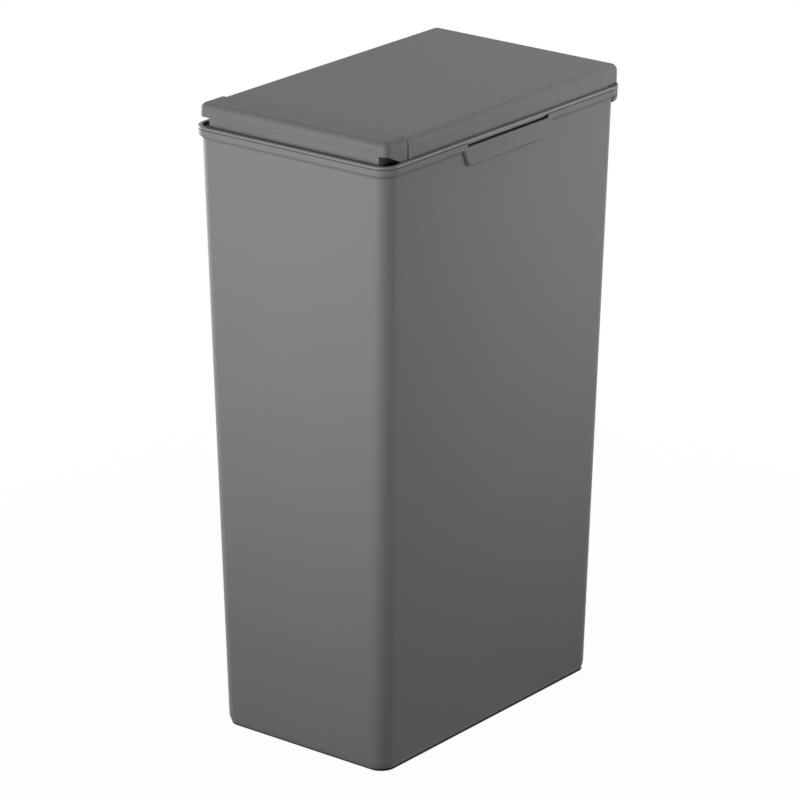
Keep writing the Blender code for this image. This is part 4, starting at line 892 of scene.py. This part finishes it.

# %% [markdown]
# ## The liner, hook and keeper
# The liner under the cover, the latch hook and its keeper have the right shape in the packed
# model, but its meshes are loose triangles, which shade in facets. A copy is welded and its
# rounds are shaded smoothly.

# %% Weld and smooth copies of the solids that show
def welded_copy(node):
    """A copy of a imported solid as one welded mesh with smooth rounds."""
    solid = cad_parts[node]
    piece = bpy.data.objects.new(f"{node}_copy", solid.data.copy())
    bpy.context.scene.collection.objects.link(piece)
    open_piece(piece)
    bpy.ops.mesh.select_all(action="SELECT")
    bpy.ops.mesh.remove_doubles(threshold=0.000002)
    bpy.ops.mesh.customdata_custom_splitnormals_clear()
    close_piece()
    bpy.ops.object.shade_smooth_by_angle(angle=math.radians(32))
    return piece


WELDED = {
    "lid_pan": ("lid", liner_plastic_painted_shade, "lid_grey"),
    "latch_hook": ("hook", acetal, "acetal"),
    "latch_keeper": ("frame", acetal, "acetal"),
    "lid_buffer_front_left": ("frame", rubber, "pad_rubber"),
    "lid_buffer_front_right": ("frame", rubber, "pad_rubber"),
    "lid_buffer_rear_left": ("frame", rubber, "pad_rubber"),
    "lid_buffer_rear_right": ("frame", rubber, "pad_rubber"),
    "latch_pin": ("lid", zinc_steel, "steel"),
    "hinge_pin_left": ("lid", zinc_steel, "steel"),
    "hinge_pin_right": ("lid", zinc_steel, "steel"),
    "bar_pin_left": ("lid", zinc_steel, "steel"),
    "bar_pin_right": ("lid", zinc_steel, "steel"),
}
for node, (body, material, slot) in WELDED.items():
    dress(welded_copy(node), body, node, material)

# %% [markdown]
# ## Screws
# Each screw is a pan-head with a cross recess. One is turned from its section, its recess is cut
# with two crossed tapered blades, and it is copied to the six places under the lid and, shorter,
# to the two on the keeper.

# %% Turn the screws
HEAD_RADIUS = 2.8
HEAD_TALL = 1.6
HEAD_ROUND = 0.95
SHANK_RADIUS = 1.4
BLADE_SHORT = (-0.35, 0.35)
BLADE_LONG = (-1.7, 1.7)


def pan_screw(name, shank):
    """A pan-head screw with its head's top at zero and its shank downwards."""
    tip = -HEAD_TALL - shank
    section = rounded_end(HEAD_RADIUS, 0.0, HEAD_ROUND, True) + [
        (HEAD_RADIUS, -HEAD_TALL), (SHANK_RADIUS, -HEAD_TALL), (SHANK_RADIUS, tip + SHANK_RADIUS),
        (0.5, tip), (0, tip)]
    screw = turn_profile(name, section, 40)
    for across, depths in ((BLADE_SHORT, BLADE_LONG), (BLADE_LONG, BLADE_SHORT)):
        shift = -front_edge / MM
        blade = box("blade", across, [shift + value for value in depths], (-1.1, 0.6))
        open_piece(blade)
        pick("FACE", lambda at, face: at.z < -1.0 * MM)
        bpy.ops.transform.resize(value=(0.45, 0.45, 1))
        close_piece()
        carve(screw, blade)
    soften(screw, 0.08, 2)
    return screw


lid_screw = pan_screw("lid_screw", 12.6)
for number, (x, depth) in enumerate(LID_SCREWS, 1):
    upside_down = Matrix.Rotation(math.pi, 4, "X") @ Matrix.Rotation(0.5 * number, 4, "Z")
    dress(placed_copy(lid_screw, (x, depth, 597.6), upside_down), "lid", f"lid_screw_{number}",
          zinc_steel)
keeper_screw = pan_screw("keeper_screw", 3.9)
for word, x, twist in (("left", -10.9, 0.3), ("right", 10.9, 1.1)):
    backwards = Matrix.Rotation(-math.pi / 2, 4, "X") @ Matrix.Rotation(twist, 4, "Z")
    dress(placed_copy(keeper_screw, (x, 12.5, 586.75), backwards), "frame", f"keeper_screw_{word}",
          zinc_steel)
for pattern in (lid_screw, keeper_screw):
    bpy.data.objects.remove(pattern, do_unlink=True)

# %% [markdown]
# ## Springs
# A coil is a curve along a helix with a round bevel. The points come from the helix formula, many
# to a turn, so that the wire bends evenly, and the legs are straight points added at its ends.
# The curve is converted to a mesh when it is done. The two springs of the bar are pressed between
# lid and bar, those of the hinge twist between frame and lid, and the latch's between lid and
# hook.

# %% Wind the springs
def helix(turns, radius, start, end, first=0.0, each=28):
    """Points of a coil about the Z axis, in millimetres."""
    count = round(turns * each)
    return [Vector((radius * math.cos(first + 2 * math.pi * turns * step / count),
                    radius * math.sin(first + 2 * math.pi * turns * step / count),
                    start + (end - start) * step / count)) for step in range(count + 1)]


def wound_wire(name, points, thickness):
    """A round wire through points given in metres."""
    curve = bpy.data.curves.new(name, "CURVE")
    curve.dimensions = "3D"
    curve.bevel_depth = thickness / 2 * MM
    curve.bevel_resolution = 3
    curve.use_fill_caps = True
    spline = curve.splines.new("POLY")
    spline.points.add(len(points) - 1)
    for target, point in zip(spline.points, points):
        target.co = (*point, 1.0)
    piece = bpy.data.objects.new(name, curve)
    bpy.context.scene.collection.objects.link(piece)
    bpy.ops.object.select_all(action="DESELECT")
    bpy.context.view_layer.objects.active = piece
    piece.select_set(True)
    bpy.ops.object.convert(target="MESH")
    piece = bpy.context.active_object
    open_piece(piece)
    bpy.ops.mesh.select_all(action="SELECT")
    bpy.ops.mesh.remove_doubles(threshold=0.000002)
    face_outwards()
    close_piece()
    bpy.ops.object.shade_smooth_by_angle(angle=math.radians(50))
    return piece


def lying(point):
    """Turns a coil made about Z so that it lies about X."""
    return Vector((point.z, point.x, point.y))


FINE_WIRE = 0.8
HINGE_WIRE = 1.4
PLAY = 0.3
BAR_COIL = (7, 3.0, 600.5, 618.7)
for word, side in (("left", -1), ("right", 1)):
    centre = Vector((side * BAR_SPRING[0] * MM, deep(BAR_SPRING[1]), 0))
    coil = [point * MM + centre for point in helix(*BAR_COIL)]
    dress(wound_wire("bar_spring", coil, FINE_WIRE), ("lid", "bar"), f"bar_spring_{word}",
          spring_wire, (coil[0], coil[-1]))

COIL_ENDS = (72.3, 58.8)
first = math.radians(-30)
coil = [lying(point) for point in helix(6 + 120 / 360, 3.7, *COIL_ENDS, first)]
foot_height = DECK + PLAY + HINGE_WIRE / 2 - HINGE[1]
leg_height = CEILING - PLAY - HINGE_WIRE / 2 - HINGE[1]
drop = coil[0].z - foot_height
legs = [Vector((COIL_ENDS[0], coil[0].y + drop * math.tan(first), foot_height)), *coil,
        Vector((COIL_ENDS[1], -16.0, leg_height))]
for word, side in (("left", -1), ("right", 1)):
    path = [Vector((side * point.x * MM, deep(HINGE[0] + point.y), (HINGE[1] + point.z) * MM))
            for point in legs]
    ends = [(side * x * MM, deep(HINGE[0]), HINGE[1] * MM) for x in (71.5, 59.6)]
    dress(wound_wire("hinge_spring", path, HINGE_WIRE), ("frame", "lid"),
          f"hinge_spring_{word}", spring_wire, ends)

LATCH = (22.0, 608.0)
BOX_FLOOR = 599.8
HOOK_SIDE = 4.7
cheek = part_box("latch_pin")[1].x / MM - 3.5
cheek_side = cheek - 1.1
coil = [lying(point) for point in helix(3.75, 2.6, HOOK_SIDE, cheek_side, -math.pi / 2)]
path = [Vector((0, -9.5, -0.8)), Vector((HOOK_SIDE, -9.5, -0.8)), *coil,
        Vector((cheek_side, -2.6, BOX_FLOOR + PLAY + FINE_WIRE / 2 - LATCH[1]))]
path = [Vector((point.x * MM, deep(LATCH[0] + point.y), (LATCH[1] + point.z) * MM))
        for point in path]
ends = [(x * MM, deep(LATCH[0]), LATCH[1] * MM) for x in (cheek_side - 0.5, HOOK_SIDE + 0.5)]
dress(wound_wire("latch_spring", path, FINE_WIRE), ("lid", "hook"), "latch_spring", spring_wire,
      ends)

# %% [markdown]
# ## Floor and background
# The floor is a plain white sheet that runs on behind the bin. Under the bin and for a millimetre
# or two round its foot it is painted dark, a painted contact shadow that the lamps alone light,
# which gives a thin contact line.
# Further out it takes a faint soft shadow and turns into an even white. The camera, and anything
# that mirrors the floor, sees it so. The light that bounces off it on to the bin is kept low, as
# over a dark studio floor, so the bin's foot stays darker than its top.

# %% Lay the floor
bpy.ops.object.select_all(action="DESELECT")
bpy.ops.mesh.primitive_plane_add(size=60)
floor = bpy.context.active_object
floor.name = "floor"
floor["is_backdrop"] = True


def seen_directly(tree):
    """One where a camera, glossy or transmission ray looks, and nought for a bounce of light."""
    path = add_node(tree, "ShaderNodeLightPath").outputs
    glossy = add_node(tree, "ShaderNodeMath", {0: path["Is Camera Ray"], 1: path["Is Glossy Ray"]},
                      operation="MAXIMUM")
    either = add_node(tree, "ShaderNodeMath", {0: glossy.outputs[0],
                                               1: path["Is Transmission Ray"]}, operation="MAXIMUM")
    return either.outputs[0]


floor_paint = bpy.data.materials.new("studio_floor")
floor_paint.use_nodes = True
tree = floor_paint.node_tree
tree.nodes.clear()
bounce = add_node(tree, "ShaderNodeBsdfDiffuse", {"Color": (0.03, 0.03, 0.03, 1)})
# Painted contact shadow: the floor's dark colour under and just round the bin's foot.
shade = add_node(tree, "ShaderNodeBsdfDiffuse", {"Color": (0.10, 0.10, 0.10, 1)})
glow = add_node(tree, "ShaderNodeEmission", {"Color": (1, 1, 1, 1), "Strength": 1.0})
at = add_node(tree, "ShaderNodeTexCoord").outputs["Object"]
half = add_node(tree, "ShaderNodeVectorMath", {0: at}, operation="ABSOLUTE").outputs["Vector"]
past = add_node(tree, "ShaderNodeVectorMath", {0: half, 1: (0.0824, 0.1485, 0)},
                operation="SUBTRACT").outputs["Vector"]
beyond = add_node(tree, "ShaderNodeVectorMath", {0: past, 1: (0, 0, 0)},
                  operation="MAXIMUM").outputs["Vector"]
away = add_node(tree, "ShaderNodeVectorMath", {0: beyond}, operation="LENGTH").outputs["Value"]
# Mask of the painted contact shadow, which ends a millimetre or two round the foot.
contact = add_node(tree, "ShaderNodeMapRange", {"Value": away, "From Min": 0.0143,
                                                "From Max": 0.0155})
spread = add_node(tree, "ShaderNodeMapRange", {"Value": away, "From Min": 0.05, "From Max": 0.8,
                                               "To Min": 0.98, "To Max": 1.0})
share = add_node(tree, "ShaderNodeMath", {0: contact.outputs["Result"],
                                          1: spread.outputs["Result"]}, operation="MULTIPLY")
lit = add_node(tree, "ShaderNodeMixShader", {0: share.outputs[0], 1: shade.outputs[0],
                                             2: glow.outputs[0]})
shown = add_node(tree, "ShaderNodeMixShader", {0: seen_directly(tree), 1: bounce.outputs[0],
                                               2: lit.outputs[0]})
add_node(tree, "ShaderNodeOutputMaterial", {"Surface": shown.outputs[0]})
floor.data.materials.append(floor_paint)

world = bpy.data.worlds.new("studio")
bpy.context.scene.world = world
world.use_nodes = True
tree = world.node_tree
tree.nodes.clear()
level = add_node(tree, "ShaderNodeMapRange", {"Value": seen_directly(tree), "To Min": 0.19,
                                              "To Max": 1.0})
backdrop = add_node(tree, "ShaderNodeBackground", {"Color": (1, 1, 1, 1),
                                                   "Strength": level.outputs["Result"]})
add_node(tree, "ShaderNodeOutputWorld", {"Surface": backdrop.outputs[0]})
print("floor and backdrop ready")

# %% [markdown]
# ## Studio lamps
# Small soft boxes light the bin against a low even light from all round. Two stand in front, at
# the height of its upper half and not far away, so that the narrow front is the brightest face
# and fades towards the foot. Two behind it on the right, one of them high, light the long side
# and the lid and leave the front corner dark. A box far out on the left, below the height of the
# lid, draws the bright line down the left edge without a glare on the lid. A grid on two of the
# boxes narrows their cone. All are hidden from the camera, as some stand within its view.

# %% Hang the lamps
def soft_box(name, at, aim, size, power, spread=180):
    """A rectangular lamp at a place in metres, facing another place, with its cone in degrees."""
    bpy.ops.object.light_add(type="AREA", location=at)
    lamp = bpy.context.active_object
    lamp.name = name
    lamp.data.shape = "RECTANGLE"
    lamp.data.size = size[0]
    lamp.data.size_y = size[1]
    lamp.data.energy = power
    lamp.data.spread = math.radians(spread)
    lamp.rotation_euler = (Vector(aim) - Vector(at)).to_track_quat("-Z", "Y").to_euler()
    lamp.visible_camera = False
    return lamp


soft_box("front_left", (-0.284, -1.058, 0.716), (0, 0, 0.62), (0.7, 0.5), 3.35)
soft_box("front_middle", (0, -1.0, 0.62), (0, 0, 0.45), (0.6, 0.5), 1.4, 90)
soft_box("right_back", (0.788, 0.616, 0.52), (0.05, 0.1, 0.44), (0.6, 0.5), 0.84, 70)
soft_box("back_high", (0.275, 0.589, 1.035), (0, 0, 0.66), (0.5, 0.4), 1.14)
soft_box("left_strip", (-2.17, 0.19, 0.32), (0, 0, 0.32), (0.6, 0.6), 24.5)
bpy.context.scene.view_settings.view_transform = "Standard"

# %% [markdown]
# ## Sizes
# The dressed bin's box is measured and compared with the imported model's box, and the largest
# difference between them is printed. The dressed bin must stay in the imported model's box.

# %% Write the sizes and finish
shown_box = [list(corner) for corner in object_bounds()]
worst = max(abs(one - other) for cad, seen in zip(cad_box, shown_box)
            for one, other in zip(cad, seen))
print("largest difference between the boxes", round(worst / MM, 2), "mm")
